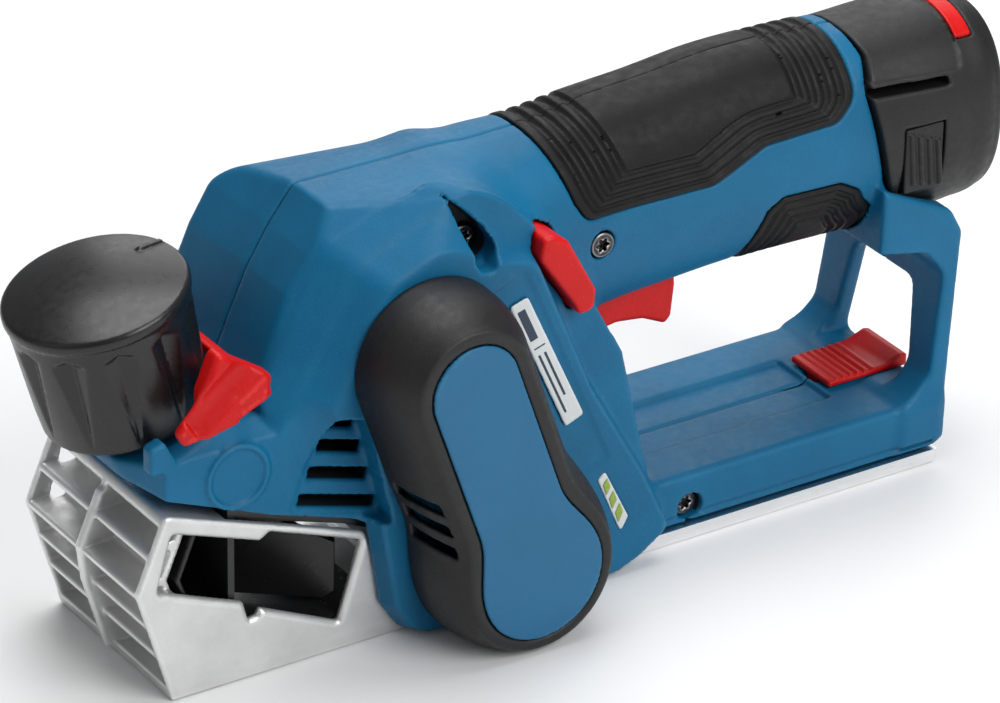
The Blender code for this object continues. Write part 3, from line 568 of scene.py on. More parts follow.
def piece(name, field, pitch, look, body, node=None, box=None, inner=()):
    """Sculpts a piece, gives it its materials and its body, and hides the CAD node it stands for."""
    obj = sculpt(name, field, *(box or node_box(node)), pitch)
    for each in (look, *inner):
        obj.data.materials.append(each)
    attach(obj, body)
    if node:
        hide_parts(node)
    return obj


# ---- shared shapes
# stations of a tube: X, middle Z, half width, half height
HANDLE = (
    (-90, 92, 24, 28), (-76, 93.8, 27, 32.4), (-62, 93.9, 27.6, 33),
    (-45, 96.3, 24.2, 31.2), (-28, 98.8, 22, 31), (-8, 100.3, 21.5, 31),
    (14, 102, 21.5, 31.5), (36, 102, 21.8, 31.5), (64, 101, 22.5, 31.2),
)
BATTERY_CASE = (
    (56, 101.9, 24.9, 30.3), (88, 101.9, 25.1, 30.5), (97, 101.9, 24.2, 29.5),
    (100.6, 101.9, 22.4, 27.8), (102, 101.9, 20, 25.4),
)
BATTERY_STEM = ((8, 101, 15.6, 18), (70, 101, 15.6, 18))
BATTERY_END = 101.6

# outlines in the XZ plane: X, Z and, where a corner is rounded, its radius
NOSE_EDGE = (
    (-183, 63.6), (-176.2, 60.7), (-145.2, 47.8), (-121, 39.6), (-113.5, 36.2), (-108.6, 24),
)
GRIP = (
    (-58, 150), (-49, 124), (-44.5, 111), (-40.5, 104.6, 6), (3, 103.8, 10), (20, 111.5, 8),
    (44, 112.3, 6), (50.5, 118, 8), (49, 150),
)
LOWER_PAD = (
    (11, 60), (17.2, 78), (21.6, 90.6, 4), (26.6, 94, 4), (46, 93.4, 4), (52.6, 89.6, 3),
    (55, 85.6, 2), (59.4, 81, 2), (60.4, 72, 3), (56, 60),
)
LOCK_OFF = (
    (-64.1, 104.6, 3), (-62.9, 110.9, 3), (-59.7, 111, 2), (-54.9, 108.2, 3), (-45.7, 91.2, 2),
    (-46.2, 85.2, 3), (-51.1, 84.7, 2), (-52.8, 88.5, 4),
)
SCREWS = {1: (-35, 96, -22.6), 2: (-82, 112, -25), 3: (-8, 9.6, -27)}  # X, Z, head's Y


def capsule(start, end, radius):
    """The flat distance to a stretched circle between two points of the XZ plane."""
    sx, sz = start
    ex, ez = end[0] - sx, end[1] - sz
    square = ex * ex + ez * ez

    def distance(x, z):
        t = np.clip(((x - sx) * ex + (z - sz) * ez) / square, 0, 1)
        return np.hypot(x - sx - t * ex, z - sz - t * ez) - radius

    return distance


def keyhole(x, z):
    """The belt side's outline: a neck from the motor's axis and a wider round end on the drum's."""
    neck = capsule(MOTOR, DRUM, 13.3)(x, z)
    round_end = np.hypot(x - DRUM[0], z - DRUM[1]) - 18.5
    return smooth_min(neck, round_end, 9)


def seat_plane(shift=0):
    """The handle's rear end: a leaning plane whose edge runs back over the top."""
    flat = plane((SEAT_X + shift, 0, LEAN_Z), (1, 0, -SEAT_LEAN))
    start, end = RISE_Z

    def distance(x, y, z):
        return flat(x - SEAT_RISE * np.clip((z - start) / (end - start), 0, 1) ** 1.5, y, z)

    return distance


def behind_seat(shift):
    """Everything behind the handle's rear end."""
    ahead = seat_plane(shift)

    def distance(x, y, z):
        return -ahead(x, y, z)

    return distance


# ---- housing
HEAD_SIDE = (
    (-184.6, 68.2, 2), (-176.3, 71.7), (-167.2, 73.9), (-154.9, 77), (-146.6, 79.2, 3),
    (-143.4, 86.6), (-140.8, 92.8), (-134.5, 106.7), (-128, 117.2), (-119.6, 127.9), (-84, 127.9),
    *arc(MOTOR, 45, 60, 33, 6), (-50, 98), (-33, 66), (-20, 10), (-20, 4.4),
    (-100, 4.4), (-103.6, 11), *NOSE_EDGE[::-1],
)
HEAD_PLAN = (
    (-184, -14, 3), (-177.2, -HALF, 0.8), (-150, -HALF), (0, -HALF), (0, HALF), (-150, HALF),
    (-177.2, HALF, 0.8), (-184, 14, 3),
)
FLANGE = (
    (-99, 1.4), (-104.5, 4, 3), (-110, 12), (-115.5, 45, 14), (-118.5, 66, 8), (-136, 84, 4),
    (-128, 108), (-113, 114), *arc(MOTOR, 30, 100, 50, 5), (-66.5, 106, 8), (-47.4, 61),
    (-29.7, 30), (-20.8, 10.8, 3), (-30, 4.6, 4), (-38, 1.4),
)
MOTOR_ROOM = (
    (-143, 72), (-136.5, 91.5), (-130, 106), (-117.5, 122), (-86, 122), (-70, 116),
    (-65.5, 109.5), (-54, 96), (-42, 76), (-36.5, 62), (-27.5, 22), (-46.5, 22),
    (-50, 54), (-66, 58), (-118, 58), (-135, 62),
)
TEARDROP = (
    (-91.3, 128.4), (-87.5, 125.4), (-80.5, 118.2, 5), (-77.6, 111.9, 5), (-80, 106.4, 4),
    (-84.5, 107.4, 4), (-87.2, 115.2, 8),
)
PANEL = ((-81.1, 100.1), (-70, 104.4, 1), (-41.5, 39, 1), (-52, 36))
MOTOR_LABEL = ((-75.2, 94.6, 1), (-69.5, 96.4, 1), (-50.5, 55.4, 1), (-56.4, 53, 1))
# each bar's start, left, end and right as shares of the label's length and width
LABEL_BARS = (
    (0.06, 0.2, 0.30, 0.62), (0.36, 0.2, 0.37, 0.8), (0.42, 0.24, 0.90, 0.36), (0.42, 0.56, 0.78, 0.68),
)
GAUGE = ((-45.2, 32.8, 0.8), (-42.9, 35, 0.8), (-34.8, 18.6, 0.8), (-37.2, 14.4, 0.8))
VENT_SIDES = (((-127.2, 73.2), (-137.5, 47.6)), ((-119.7, 71.1), (-111.7, 39.9)))
VENT_SHARES = (0.07, 0.33, 0.62, 0.916)  # where each vent lies between the ends of those sides
VENT_HALF = 1.95  # half a vent's height
VENT_FIELD = ((-128.6, 75.6), (-119.6, 73.2), (-111, 38.4), (-139.8, 46.6))
NOSE_STOP = ((-181.5, 70), (-181.5, 77.6, 1), (-177.2, 79, 1), (-173.6, 72, 1), (-173.6, 70))


CROWN_FACET = plane((-119.4, -17, 127.9), (-0.289, -0.654, 0.699))
CHEEK_FACET = plane((-130, -28, 100.2), (-0.632, -0.697, 0.342))
FAR_SIDE = common(
    [plane((0, 0, 127.9), (0, 0.18, 1)), plane((-118.8, 26.5, 123.2), (0.18, 0.9, 0.43))], 7.0
)
CEILING = joined([plane((0, 0, 128), (0, 0, 1)), plane((-62, 0, 128), (-0.085, 0, 1))])


def head():
    """The dome over the motor with its facets, and the nose in front of it."""
    side = prism(HEAD_SIDE, -HALF, HALF, edge=1.2, corner=1.2)
    plan = prism(HEAD_PLAN, -20, 160, "z", corner=2)
    dome = common([side, plan, CROWN_FACET, CHEEK_FACET, FAR_SIDE], 1.6)
    nose_top = plane((-167.2, 0, 73.9), (-0.21, 0, 0.978))
    nose = common([side, plan, nose_top, mirrored(plane((-176.3, -31, 71.7), (0, -0.55, 0.83)))], 1.2)
    return joined([dome, nose, mirrored(prism(NOSE_STOP, -30.4, -25.6, edge=0.7))], 0.8)


def flange():
    """The belt side's plate, with a small draft, and a coved shoulder round the motor."""
    face = outline(filleted(FLANGE))

    def plate(x, y, z):
        reach = np.clip(y - FLANGE_Y, 0, 12) * DRAFT
        made = thickened((face(x, z) - reach) * 0.9, np.maximum(FLANGE_Y - y, y + 24), 0.8)
        return np.maximum(made, 1.4 - z)

    def shoulder(x, y, z):
        rise = np.clip((-HALF - y) / 7.2, 0, 1)
        wide = 45.0 - 15.0 * rise**0.5
        away = np.hypot(x - MOTOR[0], z - MOTOR[1])
        return np.maximum(np.maximum((away - wide) * 0.55, FLANGE_Y - y), y + 24)

    return common([joined([plate, shoulder], 1.5), CROWN_FACET, CHEEK_FACET], 1.5)


def arch():
    """The rear frame that ties the handle to the deck, with shoulders beside the battery."""
    front_view = ((-30, 8), (30, 8), (27.4, 66), (26.4, 92, 3), (-26.4, 92, 3), (-27.4, 66))
    side = (
        (66, 6), (79.4, 6), (82.4, 38), (85.6, 70.5, 4), (81.6, 78, 5), (58, 89.4), (57, 70),
        (73, 66.5, 5), (79.4, 59, 8), (75.4, 28, 6), (67, DECK_TOP),
    )
    window = ((-18.5, DECK_TOP, 3), (18.5, DECK_TOP, 3), (13.5, 51.5, 4), (-13.5, 51.5, 4))
    frame_shape = common([prism(front_view, 50, 95, "x"), prism(side, -40, 40)], 1.6)
    return without(frame_shape, [prism(window, 45, 100, "x")], 1.6)


def housing_outside():
    """Head, handle, deck and rear arch in one skin."""
    deck = block((-40, -30, 4.4), (78.5, 30, DECK_TOP), 2.4)
    gutter = block((-24, -13, 18.4), (52, 13, 30), 1)
    handle = common([tube(HANDLE, ends=(-88, None)), seat_plane(-GAP / 2)], 0.6)
    upper = common([joined([head(), handle], 8), CEILING], 1)
    lower = joined([without(deck, [gutter], 0.8), arch()], 5)
    return joined([joined([upper, flange()], 1.6), lower], 2.5)


def housing_rooms():
    """The hollows of the housing, with the motor's room first."""
    shoe_room = ((-195, -5), (-195, 63.6), *NOSE_EDGE, (-103.6, 11), (-99, 8.4), (-91, 6.4), (-87, -5))
    shoe = prism(shoe_room, -31.4, 31.4)
    sole = block((-112, -31.1, -5), (80, 31.1, 4.4))
    front_view = ((-28, 0), (-28, 100), (-14.5, 122), (14.5, 122), (28, 100), (28, 0))
    motor = common([prism(MOTOR_ROOM, -28, 28), prism(front_view, -190, 0, "x")])
    cradle = joined(
        [
            rod_y(MOTOR, -18, 15, 24),
            block((-146, -3, 50), (-46, 3, 126)),
            rod_y(MOTOR, 19.5, 30, 11),
            rod_y((SCREWS[2][0], SCREWS[2][1]), -30, 30, 6.2),
        ]
    )
    drum = rod_y(DRUM, -28.6, 28.6, 26.5)
    mouth = block((-97, -28.6, -6), (-60, 28.6, 14))
    outlet = block((-125, -26, 9), (-98, 26, 31))
    handle = common([tube(HANDLE, grow=-2.8, ends=(-31 + 2.8, None)), plane((75, 0, 0), (1, 0, 0))])
    battery = common([tube(BATTERY_CASE, grow=0.6), behind_seat(-0.4)])
    lever = block((-149.8, -40, 75.8), (-145.2, 40, 89), 0.4)
    low, high = KNOB_BASE + KNOB_AXIS * (KNOB_CAP[0] - 1.1), KNOB_BASE + KNOB_AXIS * 60
    knob = rod(low, high, 23.9, 28.4, edge=0.5)
    spindle = rod(KNOB_BASE - KNOB_AXIS * 25, KNOB_BASE + KNOB_AXIS * 12, 4.4)
    trigger = block((-34, -6.6, 50), (4.2, 6.6, 84), 0.6)
    key = joined(
        [block((44, -3.4, 12), (95, 3.4, 17.4), 0.4), block((53.6, -3.4, 12), (95, 3.4, 26), 0.4)]
    )
    store = block((53.4, -10.2, 20), (95, 10.2, 26), 0.4)
    return [
        without(motor, [cradle]), shoe, sole, drum, mouth, outlet, handle, battery, lever, knob,
        spindle, trigger, key, store,
    ]


def round_bores():
    """Bearing seats, shaft holes and the screws' counterbored holes."""
    bores = [
        rod_y(MOTOR, -28.2, 15.5, 20.3),
        rod_y(MOTOR, -60, -20, 8.3),
        rod_y(MOTOR, 15, 26.5, 8.3),
        rod_y(DRUM, -60, -20, 9.8),
    ]
    for x, z, head_y in SCREWS.values():
        bores.append(rod_y((x, z), -60, head_y + 3.2, 4.3))
        bores.append(rod_y((x, z), -60, 12.4, 2.1))
    return bores


def surface_marks():
    """Recesses and slots cut into the outside."""
    lock = outline(filleted(LOCK_OFF))
    grip = outline(filleted(GRIP))
    pad = outline(filleted(LOWER_PAD))
    skin = tube(HANDLE)
    tear = outline(filleted(TEARDROP))
    marks = [
        lambda x, y, z: lock(x, z) - 0.7,
        lambda x, y, z: np.maximum(grip(x, z) - SKIN_GAP, -(skin(x, y, z) + 1.6)),
        lambda x, y, z: np.maximum(pad(x, z) - SKIN_GAP, np.abs(skin(x, y, z) + 0.55) - 1.05),
        lambda x, y, z: np.maximum(tear(x, z), y + 24.5 + 9 * np.clip((114 - z) / 8, 0, 1)),
        prism(PANEL, -60, FLANGE_Y + 0.45, edge=0.1),
        prism([(x, z, 1.2) for x, z, _ in MOTOR_LABEL], -60, FLANGE_Y + 0.75),
        prism([(x, z, 1) for x, z, _ in GAUGE], -60, FLANGE_Y + 0.9),
        mirrored(block((-18, -40, 6.3), (76, -29.2, 7.7), 0.3)),
    ]
    marks.append(mirrored(prism([(x, z, 1.5) for x, z in VENT_FIELD], -60, -HALF + 0.6, edge=0.2)))
    for share in VENT_SHARES:
        start, end = (
            np.array(top) + (np.array(foot) - np.array(top)) * share for top, foot in VENT_SIDES
        )
        inward = (end - start) / np.linalg.norm(end - start)
        up = np.array((-inward[1], inward[0])) * VENT_HALF
        slot = [tuple(start + up), tuple(end + up), tuple(end - up), tuple(start - up)]
        marks.append(mirrored(prism([(x, z, 0.5) for x, z in slot], -60, -22, edge=0.2)))
    return marks


def emblem_ring():
    """A plain raised ring on the nose, standing where a symbol would be."""
    centre = (-155.6, 63)

    def ring(x, y, z):
        away = np.abs(np.hypot(x - centre[0], z - centre[1]) - 9) - 0.8
        return thickened(away, np.maximum(np.abs(y) - HALF - 0.6, HALF - 2 - np.abs(y)), 0.3)

    return ring


def housing_field(outside):
    """The whole housing with its rooms, bores and surface marks cut."""
    motor, *others = housing_rooms()

    def walled(x, y, z):
        """The solid with its inner room kept behind a full wall."""
        over = outside(x, y, z)
        room = np.maximum(motor(x, y, z), over + 2.2)
        return -smooth_min(-over, room, 0.8)

    body = joined([walled, emblem_ring()], 0.4)
    body = without(body, others, 0.8)
    stub = rod_y(DRUM, 22, 29.5, 2.7)
    body = joined([body, stub])
    return without(body, round_bores() + surface_marks(), 0.5)


def paint_shade_inside(obj, outside, depth):
    """Gives the faces well under the outer skin the second material, a dark colour painted on as their
    shade.
    """
    mesh = obj.data
    centres = np.empty(len(mesh.polygons) * 3, np.float32)
    mesh.polygons.foreach_get("center", centres)
    x, y, z = (centres.reshape(-1, 3) / MM).T
    under = (outside(x, y, z) < -depth) & (np.abs(y) < HALF - 1.8)
    mesh.polygons.foreach_set("material_index", under.astype(np.int32))


def housing():
    """The two halves, parted in the middle plane with a rounded seam."""
    outside = housing_outside()
    whole = housing_field(outside)
    pitch = SHELL_PITCH
    low, high = node_box("housing_left")[0], node_box("housing_right")[1]
    for side, sign in (("left", -1), ("right", 1)):

        def half(x, y, z, sign=sign):
            return -smooth_min(-whole(x, y, z), sign * y - GAP / 2, 0.7)

        start = (low[0], low[1] if sign < 0 else 0, 0.5)
        end = (high[0] + 1, 0 if sign < 0 else high[1], 134)
        node, box = f"housing_{side}", (start, end)
        made = piece(f"shell_{side}", half, pitch, BLUE, "housing", node, box, (PAINTED_SHADE_INSIDE,))
        # the faces deep inside are painted dark as shade
        paint_shade_inside(made, outside, SHADE_DEPTH)


# ---- soft grips
def contour_grooves(inward, places, width, depth):
    """Depth of the grooves that run round a pad at these distances from its edge."""
    return sum(depth * np.clip(1 - np.abs(inward - place) / width, 0, 1) ** 0.7 for place in places)


def pads():
    """The soft pads, which stand a little proud of the handle's skin."""
    skin = tube(HANDLE)
    for name, shape, places, squash, width in (
        ("grip", GRIP, (2.5, 5, 7.5, 10), 0.55, 0.9),
        ("lower_pad", LOWER_PAD, (2.6, 5.2, 7.8, 10.4), 0.8, 0.9),
    ):
        rounded = filleted(shape)
        edge = outline(rounded)
        squashed = outline([(x * squash, z) for x, z in rounded])

        def pad(x, y, z, edge=edge, squashed=squashed, places=places, squash=squash, width=width):
            inward = -edge(x, z)
            over = skin(x, y, z)
            grooves = contour_grooves(-squashed(x * squash, z), places, width, 1.05)
            outside = over - PAD_PROUD + grooves
            made = -smooth_min(-outside, inward - SKIN_GAP, 0.9)
            made = np.maximum(np.maximum(made, -(over + 1.35)), z - PAD_TOP)
            return np.maximum(made, seat_plane(-1.2)(x, y, z))

        for side, sign in (("left", -1), ("right", 1)):
            node = f"{name}_{side}"

            def half(x, y, z, pad=pad, sign=sign):
                return np.maximum(pad(x, y, z), 0.05 - sign * y)

            box = node_box(node, 3, 3)
            piece(f"{name}_moulded_{side}", half, PAD_PITCH, RUBBER, "housing", node, box)


# ---- belt side
COVER_STEPS = ((-61.5, 4), (-60.6, 4.5), (-57.5, 6.4), (-47, 9.9), (-38.3, 10.5))  # Y, wall
COVER_BACK_Y = -38.3
COVER_SLOTS = ((-115, 53, 0.24), (-112.5, 46.1, 0.3), (-110.3, 39, 0.34))  # X, Z, fall
SLOT_HALF = 1.7


def cover_edge(x, y, z, inset=0):
    """The distance to the cover's sloping wall."""
    spread = read_table(y, COVER_STEPS, 1)
    lower = np.clip((DRUM[1] + 30 - z) / 40, 0, 1)
    spread = spread * (1 - 0.19 * lower) - inset
    return (keyhole(x, z) - spread) * 0.93


def belt_cover():
    """The hollow cover over the belt, with three cooling slots and a recess for its inlay."""

    def outside(x, y, z):
        wall = cover_edge(x, y, z)
        return np.maximum(thickened(wall, np.maximum(COVER_FACE_Y - y, y - COVER_BACK_Y), 0.7), 1.5 - z)

    def inside(x, y, z):
        return np.maximum(cover_edge(x, y, z, 2.4), -59.2 - y)

    def recess(x, y, z):
        return np.maximum(keyhole(x, z) - 0.35, y - COVER_FACE_Y - 1.1)

    slots = []
    for x, z, fall in COVER_SLOTS:
        (x0, z0), (x1, z1) = ((x + run, z - run * fall) for run in (-12, 16))
        rail = [(x0, z0 + SLOT_HALF), (x1, z1 + SLOT_HALF), (x1, z1 - SLOT_HALF), (x0, z0 - SLOT_HALF)]
        slots.append(prism(rail, -57.4, -41.5, edge=0.3))
    body = without(without(outside, [inside]), [recess, *slots], 0.3)
    piece("cover_moulded", body, 0.7, BLACK, "housing", "belt_cover", node_box("belt_cover", 1, 1))


def cover_inlay():
    """The blue plate that fills the cover's recess."""
    low, high = node_box("cover_inlay")

    def body(x, y, z):
        return thickened(keyhole(x, z), np.maximum(low[1] - y, y - high[1]), 0.35)

    piece("cover_plate", body, 0.6, BLUE_SMOOTH, "housing", "cover_inlay")


def label():
    """The pale plate beside the cover, with plain bars where its lettering would be."""
    low, high = node_box("motor_label")
    body = prism(MOTOR_LABEL, low[1], high[1], edge=0.1)
    piece("motor_plate", body, 0.4, LABEL, "housing", "motor_label")
    top, side = (np.array(MOTOR_LABEL[i][:2]) for i in (0, 1))
    foot = np.array(MOTOR_LABEL[3][:2])
    across, down = side - top, foot - top
    raised = (low[0], low[1] - 0.6, low[2])
    for i, (start, left, end, right) in enumerate(LABEL_BARS):
        corners = ((start, left), (start, right), (end, right), (end, left))
        shape = [tuple(top + down * along + across * beside) for along, beside in corners]
        bar = prism(shape, low[1] - 0.12, low[1] + 0.13)
        piece(f"label_bar_{i + 1}", bar, 0.12, INK, "housing", box=(raised, high))


def charge_gauge():
    """A pale frame with three green segments, standing a little proud."""
    low, high = node_box("charge_indicator")
    base = prism(GAUGE, low[1] + 0.35, high[1], edge=0.1)
    piece("gauge_frame", base, 0.3, LABEL, "housing", "charge_indicator")
    left, right = (GAUGE[0][:2], GAUGE[3][:2]), (GAUGE[1][:2], GAUGE[2][:2])
    for i in range(3):
        corners = []
        for side, share in ((left, i), (right, i), (right, i + 1), (left, i + 1)):
            inner = 0.09 + 0.27 * share - (0.03 if share > i else 0)
            corners.append(np.array(side[0]) + (np.array(side[1]) - np.array(side[0])) * inner)
        middle = sum(corners) / 4
        segment = [tuple(middle + (point - middle) * (0.62, 0.86)) for point in corners]
        body = prism([(x, z, 0.3) for x, z in segment], low[1] + 0.1, low[1] + 0.5, edge=0.08)
        piece(f"gauge_segment_{i + 1}", body, 0.3, GREEN, "housing", box=(low, high))


# ---- knob
def depth_knob():
    """The domed cap with pointed flutes round its skirt and a short raised mark on top."""
    low, top = KNOB_CAP
    profile = [
        (-3, top + 6), (25.6, top + 6), (25.6, top - 3.6, 0.5), (24.9, top - 4.4), (23.4, low + 8),
        (22.7, low + 0.9, 0.8), (21.8, low, 0.4), (20, low), (20, low + 8), (6.6, low + 8),
        (6.6, low + 0.6), (4, low + 0.6), (4, low + 4), (-3, low + 4),
    ]
    body = turned(profile, KNOB_BASE, KNOB_AXIS)
    ahead = (-KNOB_AXIS[2], 0, KNOB_AXIS[0])
    flutes = 11

    def field(x, y, z):
        away, t = along_axis(KNOB_BASE, KNOB_AXIS, x, y, z)
        front = (x - KNOB_BASE[0]) * ahead[0] + (z - KNOB_BASE[2]) * ahead[2]
        phase = np.arctan2(y, front) * flutes / (2 * np.pi) + 0.2
        beside = np.abs(phase - np.round(phase)) * 2
        rise = np.clip((t - low - 2.5) / (top - 9.5 - low), 0, 1)
        vee = np.clip(1 - beside / (0.05 + 0.7 * rise), 0, 1)
        vee = vee * np.clip((top - 6.6 - 2.6 * beside - t) / 1.2, 0, 1)
        groove = (0.5 + 2.0 * rise) * vee * np.clip(rise * 8, 0, 1) * (away > 19)
        dome = (t - top - 3.3 + 0.0063 * away**2) * 0.95
        made = thickened(body(x, y, z), dome, 1.2) + groove
        along = 0.2 * y - 0.98 * front
        off_mark = np.abs(0.98 * y + 0.2 * front) - 0.8
        mark = np.maximum(np.maximum(made - 0.7, off_mark), np.maximum(16.5 - along, along - 24.6))
        return smooth_min(made, mark, 0.5)

    piece("knob_cap", field, 0.65, BLACK_SMOOTH, "knob", "depth_knob")


# ---- red controls
LEVER_WING = (
    (-163.2, 103.6, 2), (-146.6, 92.6, 2.5), (-147.6, 85.6, 2.5), (-157, 81.6, 6), (-168, 78.2, 2),
    (-168, 92, 3),
)
LEVER_LIP = (
    (-175.8, 82.4, 2), (-173.6, 78.3, 2), (-157, 81), (-160, 101.6, 3), (-166.4, 95, 4),
    (-170, 88.6, 4),
)
TRIGGER = (
    (-32.6, 62.5, 2), (-28.5, 57.8, 3), (-18, 59.6, 6), (-9, 58.4, 6), (-1.4, 54.8, 1.5),
    (0.6, 57, 1.5), (1.6, 66.5), (1.2, 73), (-26, 73), (-32.6, 68.5, 2),
)


def chip_lever():
    """A wing on each side and the bar that joins them; the near wing is dished and has a lip."""
    low, high = node_box("chip_lever")
    dish = rod((-172, low[1] - 5.2, 84), (-150, low[1] - 5.2, 100), 7)
    wing = prism(LEVER_WING, low[1], low[1] + 6.2, edge=1.6)
    lip = prism(LEVER_LIP, low[1], low[1] + 3.2, edge=1.2)
    near = without(joined([wing, lip], 1.5), [dish], 1.2)
    far = prism(LEVER_WING, high[1] - 6.2, high[1], edge=1.6)
    bar = block((-149, low[1] + 2, 85.2), (-146, high[1] - 2, 88), 0.6)
    body = joined([near, far, bar], 1)
    piece("lever_moulded", body, 0.6, RED, "chip_lever", "chip_lever", node_box("chip_lever", 9))


def lock_off():
    """The cross bolt beside the grip."""
    low, high = node_box("lock_off_button")
    body = prism(LOCK_OFF, low[1], high[1], edge=1.1)
    piece("lock_off_moulded", body, 0.6, RED, "lock_off", "lock_off_button")


def trigger():
    """The squeeze trigger under the handle."""
    low, high = node_box("trigger")
    piece("trigger_moulded", prism(TRIGGER, low[1], high[1], edge=1.6), 0.5, RED, "trigger", "trigger")


def key_holder():
    """The ribbed slider that holds the blade key on the deck."""
    low, high = node_box("key_holder")
    top = (
        (low[0], 20.5), (low[0], 22.4, 1), (66, 21.9, 8), (74, 22.6, 8), (79.4, high[2], 0.8),
        (high[0], high[2] - 0.5, 0.6), (high[0], 20.5),
    )
    plate = prism(top, low[1], high[1], edge=0.6)
    clip = block((low[0] + 0.6, -2.6, low[2]), (low[0] + 6, 2.6, 21.5), 0.3)
    ribs = []
    for i in range(6):
        x = low[0] + 3.2 + 2.5 * i
        ribs.append(rod((x, low[1] + 0.6, 22.1 - 0.05 * i), (x, high[1] - 0.6, 22.1), 0.75))
    body = joined([plate, clip, *ribs], 0.4)
    piece("key_holder_moulded", body, 0.45, RED, "key_store", "key_holder")


# ---- battery
def battery():
    """The case with its stem, a slot and a sunk panel above it, and the stripe let into its top."""
    outside = common([tube(BATTERY_CASE, ends=(None, BATTERY_END)), behind_seat(GAP / 2)], 0.8)
    stem = tube(BATTERY_STEM, ends=(8, 66))
    tabs = mirrored(block((65, -40, 85.5), (79, -20.6, 106.5), 0.3))
    slot_shape = ((50, 120.4), (80.6, 118.6, 0.6), (81, 115.9, 0.6), (50, 117.6))
    slot = mirrored(prism(slot_shape, -40, -15.5, edge=0.2))
    panel = mirrored(prism(((50, 150), (50, 121.8), (85.6, 119.8, 1.5), (87, 150)), -40, 0))

    def panel_cut(x, y, z):
        return np.maximum(panel(x, y, z), -(outside(x, y, z) + 0.4))

    cutters = [tabs, slot, stripe_room(outside, 0.25, 1.45), panel_cut]
    body = without(joined([outside, stem]), cutters, 0.5)
    piece("battery_moulded", body, 0.75, BLACK, "battery", "battery_case")
    stripe = common([stripe_room(outside, 0, 1.1), lambda x, y, z: outside(x, y, z) - 0.05], 0.2)
    box = node_box("battery_stripe", 1, 1)
    piece("stripe_moulded", stripe, 0.45, RED, "battery", "battery_stripe", box)


def stripe_room(outside, grow, depth):
    """The band across the battery's top that the red stripe lies in."""

    def field(x, y, z):
        run = x - 0.065 * (z - 130)
        band = np.maximum(np.abs(run - 89.8) - 2.75, np.abs(y) - 16.6) - grow
        return np.maximum(np.maximum(band, -(outside(x, y, z) + depth)), 120 - z)

    return field


def release_tabs():
    """The ribbed plates on the battery's sides."""
    for side, sign in (("left", -1), ("right", 1)):
        low, high = node_box(f"release_tab_{side}")
        inner, outer = sorted((sign * 22.2, sign * 25))
        plate = block((low[0], inner, low[2]), (high[0], outer, high[2]), 0.6)
        ribs = []
        for i in range(4):
            x = low[0] + 1.6 + 3.1 * i
            top, bottom = high[2] - 1.4 - 1.2 * i, low[2] + 2.6 - 0.6 * i
            ribs.append(rod((x, sign * 24.9, top), (x + 1.4, sign * 24.9, bottom), 0.95, edge=0.4))
        body = joined([plate, *ribs], 0.3)
        piece(f"release_tab_moulded_{side}", body, 0.4, BLACK, f"release_{side}", f"release_tab_{side}")


# ---- front shoe
SHOE_SIDE = (
    (-176, 0), (-186.6, 35.2, 2), (-177.6, 57, 2), (-115.9, 34.2, 1.5), (-111.9, 24.2), (-106.2, 11.5),
    (-99.3, 0),
)
CHIP_WINDOW = (
    (-175.3, 50.8, 1.2), (-180.1, 34.3, 1.5), (-153.7, 23.4, 1), (-152.2, 17.4, 0.8),
    (-149.4, 18.1, 0.8), (-148.6, 20, 1), (-123.9, 8.3, 1), (-116.6, 31.6, 1), (-145.3, 42.7, 1),
    (-148.4, 40.8, 1),
)
PROW = (
    (-180.7, 52.1, 2), (-187.6, 36.1, 1.5), (-186.2, 25.3), (-179.5, 2.9, 1), (-168, 3), (-175, 35),
    (-170.5, 53),
)
SHOE_CAVITY = (
    (-164.8, 4), (-175, 34.9), (-168, 51.6), (-158, 46.6), (-158, 75), (-90, 75), (-90, 4),
)
GRILLE_BANDS = ((3.6, 13.4), (15, 23.5), (25.1, 33.6), (35.4, 44.2), (45.8, 53.6))
CHUTE_SHEET = (
    (-163.3, 7), (-173, 34.5), (-166.6, 50.4), (-165.4, 49.8), (-171.6, 34.5), (-162.1, 7),
)


def shoe_face(z):
    """X of the shoe's front at a height."""
    (foot_x, foot_z), (nose_x, nose_z), (top_x, top_z) = (point[:2] for point in SHOE_SIDE[:3])
    if z < nose_z:
        return foot_x + (nose_x - foot_x) * (z - foot_z) / (nose_z - foot_z)
    return nose_x + (top_x - nose_x) * (z - nose_z) / (top_z - nose_z)


def front_shoe():
    """The cast shoe: a floor, side walls with chip windows, and a ribbed grille in front."""
    body = prism(SHOE_SIDE, -30.7, 30.7, edge=0.6, corner=0.5)
    floor = prism(((-176, 0), (-88.5, 0), (-95, 4), (-177.2, 4)), -30.7, 30.7)
    cavity = prism(SHOE_CAVITY, -28.2, 28.2)
    pockets = []
    for low, high in GRILLE_BANDS:
        foot_x, top_x = shoe_face(low), shoe_face(high)
        pocket = (
            (foot_x - 6, low, 0), (foot_x + 9.5, low + 0.8, 1), (top_x + 9.5, high - 0.2, 1),
            (top_x - 6, high, 0),
        )
        pockets.append(mirrored(prism(pocket, -28.8, -1.2, edge=0.4)))
    window = outline(filleted(CHIP_WINDOW))

    def side_window(x, y, z):
        flare = np.clip(np.abs(y) - 29.6, 0, 2) * 0.8
        return np.maximum(window(x, z) - flare, 26.5 - np.abs(y))

    low, high = KNOB_BASE - KNOB_AXIS * 22, KNOB_BASE - KNOB_AXIS * 13.8
    boss = rod(low, high, 7)
    bore = rod(KNOB_BASE - KNOB_AXIS * 30, KNOB_BASE, 3.4)
    solid = without(body, [cavity, *pockets], 0.6)
    solid = joined([solid, floor, prism(PROW, -1.3, 1.3, edge=0.6), boss], 0.6)
    solid = without(solid, [side_window, bore], 0.5)
    solid = common([solid, plane((0, 0, 0), (0, 0, -1))])
    piece("shoe_cast", solid, 0.75, CAST, "shoe", "front_shoe")


